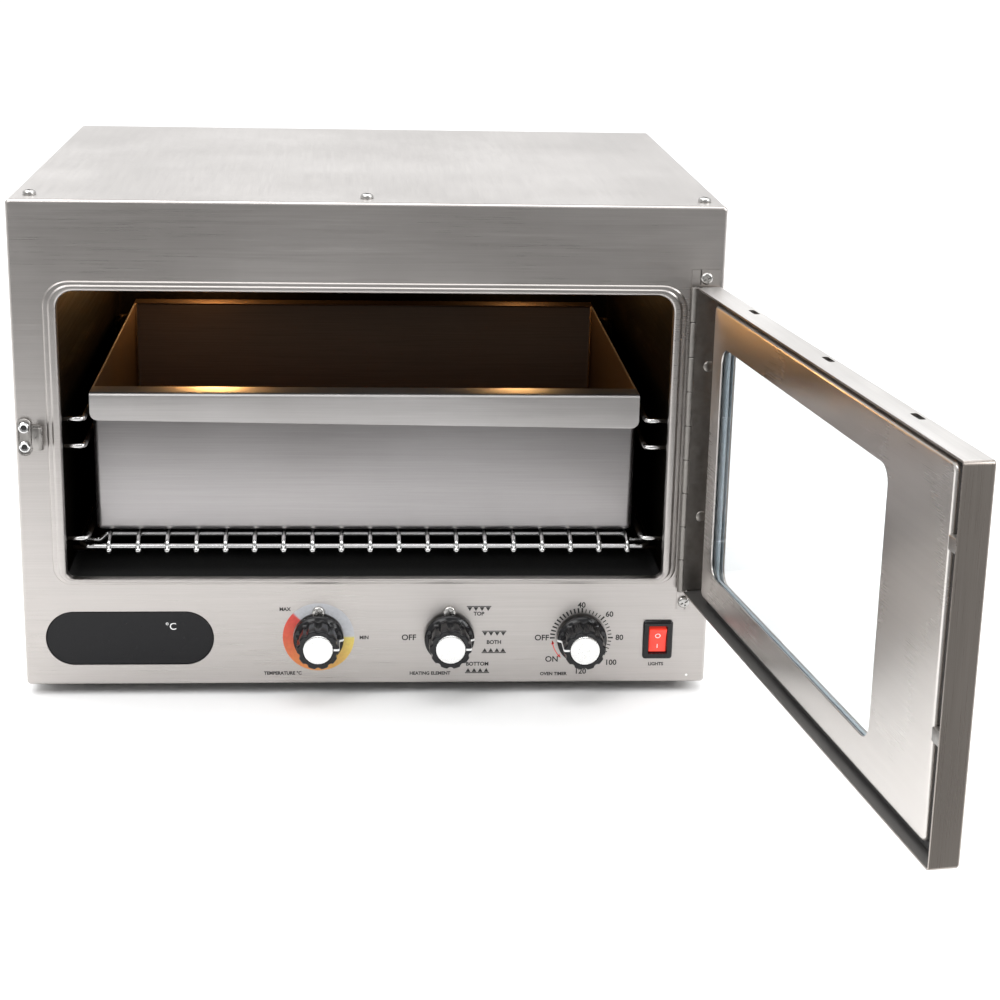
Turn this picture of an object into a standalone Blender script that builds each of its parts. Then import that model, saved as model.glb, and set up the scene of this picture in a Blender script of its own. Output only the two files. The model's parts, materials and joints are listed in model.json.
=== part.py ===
"""Small counter-top oven with its side-hinged glass door standing open.

Sizes are in millimetres and the mesh is built in metres. X runs to the right, Y to the back and Z up, and the origin is
the centre of the pressed pad under the base. The door is modelled closed, then turned open on its hinge.
"""

import math

import bmesh
import bpy
from mathutils import Matrix, Vector

MM = 0.001
GAP = 0.3

# Cabinet
HALF_WIDTH = 180.0
FRONT = -151.0
BACK = 151.0
BOTTOM = 3.0
TOP = 259.6
SHEET = 1.0
RETURN_BACK = -126.0
OPENING = (-157.0, 154.7, 62.2, 214.2)
OPENING_RADIUS = 9.0

# Oven cavity
LINER = (-157.4, 155.1, 60.0, 216.0)
LINER_FRONT = -146.8
LINER_BACK = 124.0
LINER_SHEET = 0.8
CENTRE_X = -1.15
LAMPS = ((-96.0, 190.0), (96.0, 190.0))

# Wire racks and shelf
RACK_WIRE = 1.4
RACK_INNER = 146.0
RACK_WALL = 154.4
RACK_END = 155.95
RACK_LOOPS = ((145.0, -139.0), (130.6, -139.0), (80.5, -139.0), (69.5, -121.0))
RACK_REAR = 117.0
SHELF_WIRE = 1.5
CROSS_WIRE = 1.0
CROSS_COUNT = 19
CROSS_FIRST = -137.1
CROSS_LAST = 138.1
SHELF_SIDE = 151.5
SHELF_REAR = 111.0

# Roasting pan
PAN = (-144.5, 141.5, -122.5, 95.5)
PAN_FLOOR = 79.6
PAN_TOP = 158.0
PAN_SHEET = 1.0
PAN_LIP_FRONT = -136.0
PAN_LIP_REAR = 109.0
PAN_LIP_DROP = 18.0

# Controls: axis x and z, and the turn away from pointing left
CONTROLS = {
    "temperature": (-26.7, 29.4),
    "element": (42.4, 29.4),
    "timer": (113.0, 28.5),
}
KNOB_RADIUS = 13.25
KNOB_BODY = 10.9
KNOB_HEIGHT = 17.0
CONTROL_SCREWS = {"temperature": 43.4, "element": 43.4}
DISPLAY = (-169.2, -81.6, 14.2, 44.0)
ROCKER_BEZEL = (146.0, 161.9, 16.8, 38.4)
ROCKER_PIVOT = (-148.5, 27.6)
ROCKER_TILT = 10.0

# Door, measured from its hinge axis with the door closed
HINGE = (164.8, -154.4)
DOOR_OPEN = 98.2
DOOR_LOW = 55.7
DOOR_HIGH = 219.5
DOOR_HINGE_EDGE = -0.2
DOOR_FREE_EDGE = -328.1
DOOR_DEPTH = 13.3
DOOR_RIM = -0.3
DOOR_ZERO = 1.9
KNUCKLE = 2.3
KNUCKLE_BORE = 1.25
PIN = 0.9
KNUCKLES = 9
NOTCH = 2.7
LATCH_HEIGHT = 139.0
LEVER_PIVOT = (308.0, 17.6)
BAIL_PIVOT = (298.0, 17.2)
BAIL_FOLDED = 170.0
BAIL_HALF = 8.6

COLOURS = {
    "brushed_steel": ((0.47, 0.45, 0.43), 1.0, 0.32),
    "dark_steel": ((0.2, 0.19, 0.18), 1.0, 0.4),
    "liner_steel": ((0.3, 0.28, 0.26), 1.0, 0.45),
    "chrome_wire": ((0.75, 0.75, 0.75), 1.0, 0.12),
    "pan_aluminium": ((0.62, 0.61, 0.6), 1.0, 0.35),
    "bright_aluminium": ((0.85, 0.84, 0.82), 1.0, 0.2),
    "black_plastic": ((0.012, 0.012, 0.013), 0.0, 0.18),
    "red_plastic": ((0.75, 0.05, 0.03), 0.0, 0.3),
    "black_rubber": ((0.02, 0.02, 0.02), 0.0, 0.8),
    "door_glass": ((0.6, 0.65, 0.67), 0.0, 0.03),
    "display_glass": ((0.005, 0.005, 0.006), 0.0, 0.05),
    "mineral_wool": ((0.72, 0.69, 0.6), 0.0, 0.95),
    "element_sheath": ((0.14, 0.12, 0.11), 1.0, 0.5),
    "control_housing": ((0.55, 0.5, 0.42), 0.0, 0.5),
    "lamp_glass": ((0.95, 0.75, 0.45), 0.0, 0.1),
}
MATERIALS = {}


def clear_scene():
    for item in list(bpy.data.objects):
        bpy.data.objects.remove(item, do_unlink=True)


def make_materials():
    for name, (colour, metallic, roughness) in COLOURS.items():
        material = bpy.data.materials.new(name)
        material.use_nodes = True
        shader = material.node_tree.nodes["Principled BSDF"]
        shader.inputs["Base Color"].default_value = (*colour, 1.0)
        shader.inputs["Metallic"].default_value = metallic
        shader.inputs["Roughness"].default_value = roughness
        MATERIALS[name] = material


# ---------------------------------------------------------------- outlines and shells

def rounded(box, radius, steps=3):
    """A rounded rectangle, counter-clockwise, from (low, high, low, high)."""
    left, right, low, high = box
    radius = min(radius, (right - left) / 2 - 0.01, (high - low) / 2 - 0.01)
    corners = ((right, low, -90), (right, high, 0), (left, high, 90), (left, low, 180))
    outline = []
    for u, v, start in corners:
        cu = u - radius if u == right else u + radius
        cv = v - radius if v == high else v + radius
        for step in range(steps + 1):
            angle = math.radians(start + 90 * step / steps)
            outline.append((cu + radius * math.cos(angle), cv + radius * math.sin(angle)))
    return outline


def grown(box, by):
    return (box[0] - by, box[1] + by, box[2] - by, box[3] + by)


def circle(centre, radius, sides=12):
    turn = 2 * math.pi / sides
    return [
        (centre[0] + radius * math.cos(turn * (i + 0.5)), centre[1] + radius * math.sin(turn * (i + 0.5)))
        for i in range(sides)
    ]


def place(axis, u, v, level):
    if axis == "X":
        return (level, u, v)
    if axis == "Y":
        return (u, level, v)
    return (u, v, level)


def loft(axis, rings, closed=False):
    """A shell through outlines of equal length, each given with its level along the axis."""
    count = len(rings[0][0])
    points = [place(axis, u, v, level) for outline, level in rings for u, v in outline]
    faces = []
    for i in range(len(rings) if closed else len(rings) - 1):
        j = (i + 1) % len(rings)
        for k in range(count):
            m = (k + 1) % count
            faces.append((i * count + k, i * count + m, j * count + m, j * count + k))
    if not closed:
        faces.append(tuple(range(count)))
        faces.append(tuple(range((len(rings) - 1) * count, len(rings) * count)))
    return points, faces


def prism(axis, outline, low, high):
    return loft(axis, [(outline, low), (outline, high)])


def block(x0, x1, y0, y1, z0, z1):
    return prism("Z", [(x0, y0), (x1, y0), (x1, y1), (x0, y1)], z0, z1)


def turned(axis, centre, profile, sides=12):
    return loft(axis, [(circle(centre, radius, sides), level) for radius, level in profile])


def bored(axis, centre, outer, inner, low, high, sides=12):
    wide = circle(centre, outer, sides)
    narrow = circle(centre, inner, sides)
    return loft(axis, [(wide, low), (wide, high), (narrow, high), (narrow, low)], closed=True)


def wire(path, radius, sides=6, closed=False):
    """A round wire along a path, mitred at each corner."""
    path = [Vector(point) for point in path]
    count = len(path)
    last = count if closed else count - 1
    ways = [(path[(i + 1) % count] - path[i]).normalized() for i in range(last)]
    first = ways[-1] if closed else ways[0]
    across = first.orthogonal().normalized()
    if abs(first.z) < 0.9:
        across = first.cross(Vector((0, 0, 1))).normalized()
    points = []
    for i in range(count):
        arriving = ways[(i - 1) % last] if closed or i else ways[0]
        leaving = ways[i % last] if closed or i < last else ways[-1]
        across = (across - arriving * across.dot(arriving)).normalized()
        upright = arriving.cross(across)
        normal = (arriving + leaving).normalized()
        for k in range(sides):
            angle = 2 * math.pi * (k + 0.5) / sides
            offset = (across * math.cos(angle) + upright * math.sin(angle)) * radius
            slide = -offset.dot(normal) / arriving.dot(normal)
            points.append(tuple(path[i] + offset + arriving * slide))
        across = arriving.rotation_difference(leaving) @ across
    faces = []
    for i in range(last):
        j = (i + 1) % count
        for k in range(sides):
            m = (k + 1) % sides
            faces.append((i * sides + k, i * sides + m, j * sides + m, j * sides + k))
    if not closed:
        faces.append(tuple(range(sides)))
        faces.append(tuple(range((count - 1) * sides, count * sides)))
    return points, faces


# ---------------------------------------------------------------- objects

def add(name, shells, material, origin=(0.0, 0.0, 0.0), parent=None):
    """One object from closed shells, its origin placed where it turns or slides."""
    points = []
    faces = []
    for shell_points, shell_faces in shells:
        start = len(points)
        points += shell_points
        faces += [tuple(start + i for i in face) for face in shell_faces]
    mesh = bpy.data.meshes.new(name)
    mesh.from_pydata([((Vector(p) - Vector(origin)) * MM) for p in points], [], faces)
    work = bmesh.new()
    work.from_mesh(mesh)
    bmesh.ops.recalc_face_normals(work, faces=work.faces[:])
    work.to_mesh(mesh)
    work.free()
    if material:
        mesh.materials.append(MATERIALS[material])
    item = bpy.data.objects.new(name, mesh)
    bpy.context.scene.collection.objects.link(item)
    item.location = Vector(origin) * MM
    item.parent = parent
    return item


def helper(name, shells, like):
    """A cutter or a second half, kept out of the render."""
    item = add(name, shells, None, tuple(like.location / MM), like.parent)
    item.hide_render = True
    item.display_type = "WIRE"
    return item


def boolean(item, other, operation):
    modifier = item.modifiers.new(operation.lower(), "BOOLEAN")
    modifier.operation = operation
    modifier.solver = "EXACT"
    modifier.use_self = operation == "UNION"
    modifier.object = other


def cut(item, shells):
    boolean(item, helper(item.name + "_cutter", shells, item), "DIFFERENCE")


def join(item, shells):
    boolean(item, helper(item.name + "_second", shells, item), "UNION")


def fixed_empty(name, location, angle=0.0, parent=None):
    item = bpy.data.objects.new(name, None)
    bpy.context.scene.collection.objects.link(item)
    item.location = Vector(location) * MM
    item.rotation_euler = (0.0, 0.0, math.radians(angle))
    item.parent = parent
    return item


# ---------------------------------------------------------------- cabinet

def build_front_panel():
    bead = (-163.9, 161.9, 59.0, 219.3)
    face = (-HALF_WIDTH, HALF_WIDTH, BOTTOM, TOP)
    flange = (-178.6, 178.6, 5.4, 258.2)
    rings = [
        (rounded(grown(face, -1.4), 1.0), FRONT),
        (rounded(grown(face, -0.4), 1.6), FRONT + 0.4),
        (rounded(face, 2.0), FRONT + 1.4),
        (rounded(face, 2.0), FRONT + 2.4),
        (rounded(flange, 1.5), FRONT + 2.4),
        (rounded(flange, 1.5), RETURN_BACK),
        (rounded(grown(flange, -0.8), 1.0), RETURN_BACK),
        (rounded(grown(flange, -0.8), 1.0), FRONT + SHEET),
        (rounded(grown(OPENING, 0.8), OPENING_RADIUS + 0.8), FRONT + SHEET),
        (rounded(grown(OPENING, 0.8), OPENING_RADIUS + 0.8), FRONT + 3.8),
        (rounded(OPENING, OPENING_RADIUS), FRONT + 3.8),
        (rounded(OPENING, OPENING_RADIUS), FRONT - 0.6),
        (rounded((-158.0, 155.7, 61.5, 215.2), 10.0), FRONT - 1.7),
        (rounded((-160.6, 158.2, 60.6, 217.0), 11.0), FRONT - 2.0),
        (rounded((-163.0, 161.0, 59.6, 218.4), 12.0), FRONT - 1.4),
        (rounded(bead, 13.0), FRONT),
    ]
    panel = add("front_panel", [loft("Y", rings, closed=True)], "brushed_steel")
    holes = [prism("Y", rounded(DISPLAY, 15.0, 6), FRONT - 5, FRONT + 5)]
    for x, z in CONTROLS.values():
        holes.append(prism("Y", circle((x, z), 5.2), FRONT - 5, FRONT + 5))
    for name, z in CONTROL_SCREWS.items():
        holes.append(prism("Y", circle((CONTROLS[name][0], z), 2.3, 8), FRONT - 5, FRONT + 5))
    holes.append(prism("Y", rounded(grown(ROCKER_BEZEL, -1.8), 0.5, 1), FRONT - 5, FRONT + 5))
    for x, z in ((170.7, 223.3), (166.9, 49.0)):
        holes.append(prism("Y", circle((x, z), 2.1, 8), FRONT - 5, FRONT + 5))
    for x in (-170.1, -1.7, 170.4):
        holes.append(prism("Z", circle((x, -135.0), 2.3, 8), TOP - 8, TOP + 5))
    cut(panel, holes)


def build_wrap():
    inner = HALF_WIDTH - SHEET
    outline = [
        (-168.0, BOTTOM), (-168.0, BOTTOM + SHEET), (-inner, BOTTOM + SHEET),
        (-inner, TOP - 2.5), (-inner + 1.5, TOP - SHEET), (inner - 1.5, TOP - SHEET), (inner, TOP - 2.5),
        (inner, BOTTOM + SHEET), (168.0, BOTTOM + SHEET), (168.0, BOTTOM),
        (HALF_WIDTH, BOTTOM), (HALF_WIDTH, TOP - 2.2), (HALF_WIDTH - 0.7, TOP - 0.7), (HALF_WIDTH - 2.2, TOP),
        (-HALF_WIDTH + 2.2, TOP), (-HALF_WIDTH + 0.7, TOP - 0.7), (-HALF_WIDTH, TOP - 2.2), (-HALF_WIDTH, BOTTOM),
    ]
    wrap = add("outer_wrap", [prism("Y", outline, FRONT + 2.7, BACK)], "brushed_steel")
    cut(wrap, [prism("Z", circle((x, -135.0), 2.3, 8), TOP - 8, TOP + 5) for x in (-170.1, -1.7, 170.4)])
    for name, x in (("left", -170.1), ("middle", -1.7), ("right", 170.4)):
        profile = [(1.9, TOP - 7.5), (1.9, TOP + GAP), (3.5, TOP + GAP), (3.5, TOP + 1.4), (2.4, TOP + 2.4)]
        add("roof_screw_" + name, [turned("Z", (x, -135.0), profile, 10)], "bright_aluminium")


def build_rear_cover():
    face = (-178.6, 178.6, 5.4, 258.2)
    rings = [
        (rounded(face, 1.5), BACK),
        (rounded(face, 1.5), BACK - 12.0),
        (rounded(grown(face, -0.8), 1.0), BACK - 12.0),
        (rounded(grown(face, -0.8), 1.0), BACK - 0.8),
    ]
    cover = add("rear_cover", [loft("Y", rings)], "brushed_steel")
    holes = []
    for row in (22.0, 232.0):
        for i in range(8):
            x = -98.0 + 28.0 * i
            holes.append(block(x - 9.0, x + 9.0, BACK - 4, BACK + 4, row - 1.6, row + 1.6))
    holes.append(prism("Y", circle((-140.0, 34.0), 7.2, 12), BACK - 4, BACK + 4))
    cut(cover, holes)
    profile = [(6.8, BACK - 9.0), (6.8, BACK + GAP), (9.5, BACK + GAP), (9.5, BACK + 1.6), (6.2, BACK + 4.0)]
    gland = add("power_inlet", [turned("Y", (-140.0, 34.0), profile)], "black_rubber")
    cut(gland, [turned("Y", (-140.0, 34.0), [(3.2, BACK - 6.0), (3.2, BACK + 8.0)], 8)])


def build_base():
    plate = (-178.5, 178.5, -148.1, 149.0)
    pad = (-105.0, 105.0, -75.0, 75.0)
    rings = [
        (rounded(pad, 12.0), 0.0),
        (rounded(grown(pad, 8.0), 18.0), 4.3),
        (rounded(plate, 2.0), 4.3),
        (rounded(plate, 2.0), 5.1),
        (rounded(grown(pad, 7.6), 17.6), 5.1),
        (rounded(grown(pad, -0.4), 11.6), 0.8),
    ]
    add("base_plate", [loft("Z", rings)], "dark_steel")
    for name, x, y in (
        ("front_left", -152.0, -125.0), ("front_right", 152.0, -125.0),
        ("rear_left", -152.0, 125.0), ("rear_right", 152.0, 125.0),
    ):
        profile = [(8.0, -3.0), (9.0, -2.2), (10.0, 4.3 - GAP)]
        add("foot_" + name, [turned("Z", (x, y), profile, 14)], "black_rubber")


def build_cavity():
    flange = (-165.0, 162.0, 52.6, 223.4)
    wall = grown(LINER, LINER_SHEET)
    rings = [
        (rounded(LINER, 9.0), LINER_BACK),
        (rounded(LINER, 9.0), LINER_FRONT),
        (rounded(flange, 6.0), LINER_FRONT),
        (rounded(flange, 6.0), LINER_FRONT + LINER_SHEET),
        (rounded(wall, 9.8), LINER_FRONT + LINER_SHEET),
        (rounded(wall, 9.8), LINER_BACK + LINER_SHEET),
    ]
    liner = add("cavity_liner", [loft("Y", rings)], "liner_steel")
    cut(liner, [prism("Y", circle(centre, 14.0), LINER_BACK - 3, LINER_BACK + 4) for centre in LAMPS])
    for name, centre in zip(("left", "right"), LAMPS):
        profile = [
            (6.0, LINER_BACK - 6.0), (11.0, LINER_BACK - 4.6), (14.0, LINER_BACK - 2.0), (17.0, LINER_BACK - 1.6),
            (17.0, LINER_BACK - GAP), (13.6, LINER_BACK - GAP), (13.6, LINER_BACK + 12.0),
        ]
        add("oven_lamp_" + name, [turned("Y", centre, profile)], "lamp_glass")
    inner = (-163.0, 160.6)
    top = 225.4
    thick = 12.0
    outline = [
        (inner[0], 62.0), (inner[0], top), (inner[1], top), (inner[1], 62.0),
        (inner[1] + thick, 62.0), (inner[1] + thick, top + thick),
        (inner[0] - thick, top + thick), (inner[0] - thick, 62.0),
    ]
    add("insulation_blanket", [prism("Y", outline, -124.0, 126.0)], "mineral_wool")
    shield = [
        (-176.0, 44.0), (-175.2, 44.0), (-175.2, 49.2), (175.2, 49.2), (175.2, 44.0),
        (176.0, 44.0), (176.0, 50.0), (-176.0, 50.0),
    ]
    add("heat_shield", [prism("Y", shield, -124.0, 136.0)], "dark_steel")
    for name, z in (("upper", 221.0), ("lower", 55.2)):
        path = [(-130, 133), (-130, -108), (-45, -108), (-45, 88), (45, 88), (45, -108), (130, -108), (130, 133)]
        add("heating_element_" + name, [wire([(x, y, z) for x, y in path], 3.0)], "element_sheath")
    probe = [(158.2, -70, 150), (158.2, -10, 150), (158.2, 20, 140), (158.2, 20, 90), (158.2, 20, 60)]
    add("temperature_probe", [wire(probe, 1.3)], "pan_aluminium")


# ---------------------------------------------------------------- racks, shelf and pan

def build_racks():
    for name, side in (("left", -1), ("right", 1)):
        inner = CENTRE_X + side * RACK_INNER
        wall = CENTRE_X + side * RACK_WALL
        loops = []
        for z, front in RACK_LOOPS:
            path = [
                (CENTRE_X + side * RACK_END, front, z), (inner, front, z), (inner, RACK_REAR, z),
                (wall, RACK_REAR, z), (wall, 90.0, z),
            ]
            loops.append(wire(path, RACK_WIRE, 6))
        rack = add("side_rack_" + name, loops, "chrome_wire")
        join(rack, [wire([(wall, y, 68.0), (wall, y, 146.5)], RACK_WIRE * 0.98, 6) for y in (93.0, 108.0)])


def build_shelf():
    side = SHELF_SIDE
    rim = [
        (-side, SHELF_REAR, 75.0), (-side, -127.0, 75.0), (-side + 2.0, -131.0, 73.4),
        (side - 2.0, -131.0, 73.4), (side, -127.0, 75.0), (side, SHELF_REAR, 75.0),
    ]
    shells = [wire([(CENTRE_X + x, y, z) for x, y, z in rim], SHELF_WIRE, 6, closed=True)]
    pitch = (CROSS_LAST - CROSS_FIRST) / (CROSS_COUNT - 1)
    for i in range(CROSS_COUNT):
        x = CROSS_FIRST + pitch * i
        path = [
            (x, SHELF_REAR + 1.6, 76.2), (x, SHELF_REAR - 3.0, 78.3), (x, -128.0, 78.3),
            (x, -132.6, 75.4), (x, -133.4, 73.2), (x, -132.7, 71.3),
        ]
        shells.append(wire(path, CROSS_WIRE, 5))
    shelf = add("wire_shelf", shells, "chrome_wire", (0.0, -131.0, 75.0))
    laterals = []
    for y in (-117.0, 86.0):
        step = [(-side, 72.8), (-142.0, 72.8), (-138.5, 76.1), (138.5, 76.1), (142.0, 72.8), (side, 72.8)]
        laterals.append(wire([(CENTRE_X + x, y, z) for x, z in step], SHELF_WIRE * 0.99, 6))
    join(shelf, laterals)


def build_pan():
    left, right, front, rear = PAN
    outer = (left, right, front, rear)
    inner = grown(outer, -PAN_SHEET)
    rings = [
        (rounded(grown(outer, -1.2), 2.8), PAN_FLOOR),
        (rounded(outer, 4.0), PAN_FLOOR + 1.2),
        (rounded(outer, 4.0), PAN_TOP),
        (rounded(inner, 3.0), PAN_TOP),
        (rounded(inner, 3.0), PAN_FLOOR + 2.0),
        (rounded(grown(inner, -1.0), 2.0), PAN_FLOOR + 1.2),
    ]
    pan = add("roasting_pan", [loft("Z", rings)], "pan_aluminium", (0.0, front, PAN_FLOOR))
    drop = PAN_TOP - PAN_LIP_DROP
    top = PAN_TOP - 0.02
    under = PAN_TOP - PAN_SHEET
    front_lip = [
        (front + 0.5, top), (PAN_LIP_FRONT + 1.2, top), (PAN_LIP_FRONT, PAN_TOP - 1.2), (PAN_LIP_FRONT, drop),
        (PAN_LIP_FRONT + PAN_SHEET, drop), (PAN_LIP_FRONT + PAN_SHEET, under), (front + 0.5, under),
    ]
    rear_lip = [
        (rear - 0.5, top), (rear - 0.5, under), (PAN_LIP_REAR - PAN_SHEET, under), (PAN_LIP_REAR - PAN_SHEET, drop),
        (PAN_LIP_REAR, drop), (PAN_LIP_REAR, PAN_TOP - 1.2), (PAN_LIP_REAR - 1.2, top),
    ]
    join(pan, [prism("X", lip, left + 0.3, right - 0.3) for lip in (front_lip, rear_lip)])


# ---------------------------------------------------------------- controls

def scalloped(centre, radius, depth, waves=8):
    outline = []
    for i in range(waves * 3):
        angle = 2 * math.pi * i / (waves * 3)
        reach = radius if i % 3 else radius - depth
        outline.append((centre[0] + reach * math.cos(angle), centre[1] + reach * math.sin(angle)))
    return outline


def build_control(name, x, z):
    centre = (x, z)
    near = FRONT - 2.6
    skirt = near - 2.6
    face = near - KNOB_HEIGHT
    rings = [
        (scalloped(centre, KNOB_RADIUS, 0.0), near),
        (scalloped(centre, KNOB_RADIUS, 0.0), near - 1.4),
        (scalloped(centre, KNOB_RADIUS - 1.6, 0.3), skirt),
        (scalloped(centre, KNOB_BODY, 1.5), skirt - 0.8),
        (scalloped(centre, KNOB_BODY - 0.1, 1.3), face + 0.8),
        (scalloped(centre, KNOB_BODY - 0.9, 1.0), face),
    ]
    knob = add(name + "_knob", [loft("Y", rings)], "black_plastic", (x, near, z))
    bore = prism("Y", circle(centre, 3.2, 10), near + 4, near - 11.0)
    recess = prism("Y", circle(centre, 8.1, 20), face + 0.9, face - 3)
    cut(knob, [bore, recess])
    cap = [(7.8, face + 0.6), (7.8, face - 0.1), (7.2, face - 0.5)]
    add(name + "_knob_cap", [turned("Y", centre, cap, 20)], "bright_aluminium", (x, near, z))
    shaft = [(2.9, near - 10.0), (2.9, FRONT + 9.0)]
    add(name + "_shaft", [turned("Y", centre, shaft, 10)], "bright_aluminium", (x, near, z))


def build_controls():
    for name, (x, z) in CONTROLS.items():
        build_control(name, x, z)
    back = FRONT + SHEET + GAP
    bodies = {
        "temperature": ("thermostat_body", (-44.7, -8.7, 10.4, 47.0), 38.0),
        "element": ("selector_body", (24.4, 60.4, 11.4, 47.0), 34.0),
        "timer": ("timer_body", (91.0, 135.0, 9.5, 47.0), 42.0),
    }
    for name, (node, box, depth) in bodies.items():
        x, z = CONTROLS[name]
        rings = [
            (rounded(box, 4.0, 2), back),
            (rounded(box, 4.0, 2), back + 5.0),
            (rounded(grown(box, -3.0), 3.0, 2), back + 5.0),
            (rounded(grown(box, -3.0), 3.0, 2), back + depth),
        ]
        body = add(node, [loft("Y", rings)], "control_housing")
        holes = [prism("Y", circle((x, z), 3.6, 10), back - 2, back + 12.0)]
        if name in CONTROL_SCREWS:
            centre = (x, CONTROL_SCREWS[name])
            holes.append(prism("Y", circle(centre, 1.9, 8), back - 2, back + 4.0))
            near = FRONT - GAP
            profile = [(1.5, FRONT + 4.5), (1.5, near), (3.4, near), (3.4, near - 1.0), (2.4, near - 1.9)]
            add(name + "_screw", [turned("Y", centre, profile, 10)], "bright_aluminium")
        cut(body, holes)
    lens = rounded(grown(DISPLAY, -GAP), 14.7, 6)
    add("display_lens", [prism("Y", lens, FRONT + 0.1, FRONT + 1.4)], "display_glass")
    module = rounded(grown(DISPLAY, 2.0), 2.0, 1)
    add("display_module", [prism("Y", module, FRONT + 1.7, FRONT + 13.0)], "black_plastic")


def build_light_switch():
    bezel = ROCKER_BEZEL
    neck = grown(bezel, -2.1)
    pocket = grown(bezel, -3.2)
    rings = [
        (rounded(pocket, 0.4, 1), FRONT + 12.0),
        (rounded(pocket, 0.4, 1), FRONT - 1.7),
        (rounded(grown(bezel, -0.9), 1.0, 1), FRONT - 1.7),
        (rounded(bezel, 1.4, 1), FRONT - 0.9),
        (rounded(bezel, 1.4, 1), FRONT - GAP),
        (rounded(neck, 0.6, 1), FRONT - GAP),
        (rounded(neck, 0.6, 1), FRONT + 20.0),
    ]
    add("light_switch_body", [loft("Y", rings)], "black_plastic")
    pivot_y, pivot_z = ROCKER_PIVOT
    shape = [(-3.7, -6.7), (-2.5, 0.0), (-3.7, 6.7), (1.0, 6.4), (5.0, 3.0), (5.0, -3.0), (1.0, -6.4)]
    tilt = math.radians(ROCKER_TILT)
    outline = []
    for y, z in shape:
        turned_y = y * math.cos(tilt) - z * math.sin(tilt)
        turned_z = y * math.sin(tilt) + z * math.cos(tilt)
        outline.append((pivot_y + turned_y, pivot_z + turned_z))
    button = prism("X", outline, pocket[0] + GAP, pocket[1] - GAP)
    add("light_rocker", [button], "red_plastic", (153.95, pivot_y, pivot_z))


# ---------------------------------------------------------------- hinge, keeper, door and latch

def knuckle_spans():
    pitch = (DOOR_HIGH - DOOR_LOW) / KNUCKLES
    return [(DOOR_LOW + pitch * i + GAP / 2, DOOR_LOW + pitch * (i + 1) - GAP / 2) for i in range(KNUCKLES)]


def build_fixed_hinge():
    x, y = HINGE
    face = FRONT - GAP
    leaf = add("hinge_fixed_leaf", [block(x + NOTCH, 177.6, face - 0.8, face, 44.5, 227.8)], "dark_steel")
    shells = [
        block(x - 1.6, x + NOTCH + 1, face - 0.79, face - 0.01, 44.6, DOOR_LOW - GAP),
        block(x - 1.6, x + NOTCH + 1, face - 0.79, face - 0.01, DOOR_HIGH + GAP, 227.7),
    ]
    for low, high in knuckle_spans()[::2]:
        shells.append(bored("Z", HINGE, KNUCKLE, KNUCKLE_BORE, low, high, 10))
        shells.append(block(x - 0.8, x + NOTCH + 1, y + 1.55, face - 0.02, low + 0.1, high - 0.1))
    join(leaf, shells)
    cut(leaf, [prism("Y", circle(c, 2.1, 8), FRONT - 5, FRONT + 5) for c in ((170.7, 223.3), (166.9, 49.0))])
    add("hinge_pin", [turned("Z", HINGE, [(PIN, DOOR_LOW), (PIN, DOOR_HIGH)], 10)], "bright_aluminium")
    for name, centre in (("upper", (170.7, 223.3)), ("lower", (166.9, 49.0))):
        near = face - 0.8 - GAP
        profile = [(1.5, FRONT + 5.0), (1.5, near), (3.2, near), (3.2, near - 1.0), (2.2, near - 1.8)]
        add("hinge_screw_" + name, [turned("Y", centre, profile, 10)], "bright_aluminium")


def build_keeper():
    face = FRONT - GAP
    plate = rounded((-179.2, -172.6, LATCH_HEIGHT - 10.1, LATCH_HEIGHT + 9.5), 3.2)
    keeper = add("latch_keeper", [prism("Y", plate, face - SHEET, face)], "bright_aluminium")
    hook = [
        (-174.5, face - 0.02), (-166.2, face - 0.02), (-166.2, face - 7.0), (-171.6, face - 7.0),
        (-171.6, face - 6.0), (-167.2, face - 6.0), (-167.2, face - 0.98), (-174.5, face - 0.98),
    ]
    shells = [prism("Z", hook, LATCH_HEIGHT - 5.8, LATCH_HEIGHT + 5.9)]
    for z in (LATCH_HEIGHT + 4.8, LATCH_HEIGHT - 5.3):
        profile = [(2.6, face - 0.5), (2.6, face - 1.5), (1.6, face - 2.1)]
        shells.append(turned("Y", (-175.9, z), profile, 10))
    join(keeper, shells)


def door_point(a, b):
    """Hinge-relative x and y of a point a from the hinge side and b out from the rim, with the door closed."""
    return (HINGE[0] + DOOR_ZERO - a, HINGE[1] + DOOR_RIM - b)


def door_block(a0, a1, b0, b1, z0, z1):
    x1, y1 = door_point(a0, b0)
    x0, y0 = door_point(a1, b1)
    return block(x0, x1, y0, y1, z0, z1)


def door_box(a0, a1, z0, z1):
    return (door_point(a1, 0.0)[0], door_point(a0, 0.0)[0], z0, z1)


def door_add(name, shells, material, parent, pivot=None):
    """Shells given with the door closed, stored relative to the hinge axis or to a pivot on the door."""
    origin = Vector((HINGE[0], HINGE[1], 0.0))
    moved = [([tuple(Vector(p) - origin) for p in points], faces) for points, faces in shells]
    start = (0.0, 0.0, 0.0)
    if pivot:
        x, y = door_point(*pivot)
        start = (x - HINGE[0], y - HINGE[1], LATCH_HEIGHT)
    return add(name, moved, material, start, parent)


def door_cut(item, shells):
    origin = Vector((HINGE[0], HINGE[1], 0.0))
    cut(item, [([tuple(Vector(p) - origin) for p in points], faces) for points, faces in shells])


def door_join(item, shells):
    origin = Vector((HINGE[0], HINGE[1], 0.0))
    join(item, [([tuple(Vector(p) - origin) for p in points], faces) for points, faces in shells])


def b_level(b):
    return door_point(0.0, b)[1]


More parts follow.
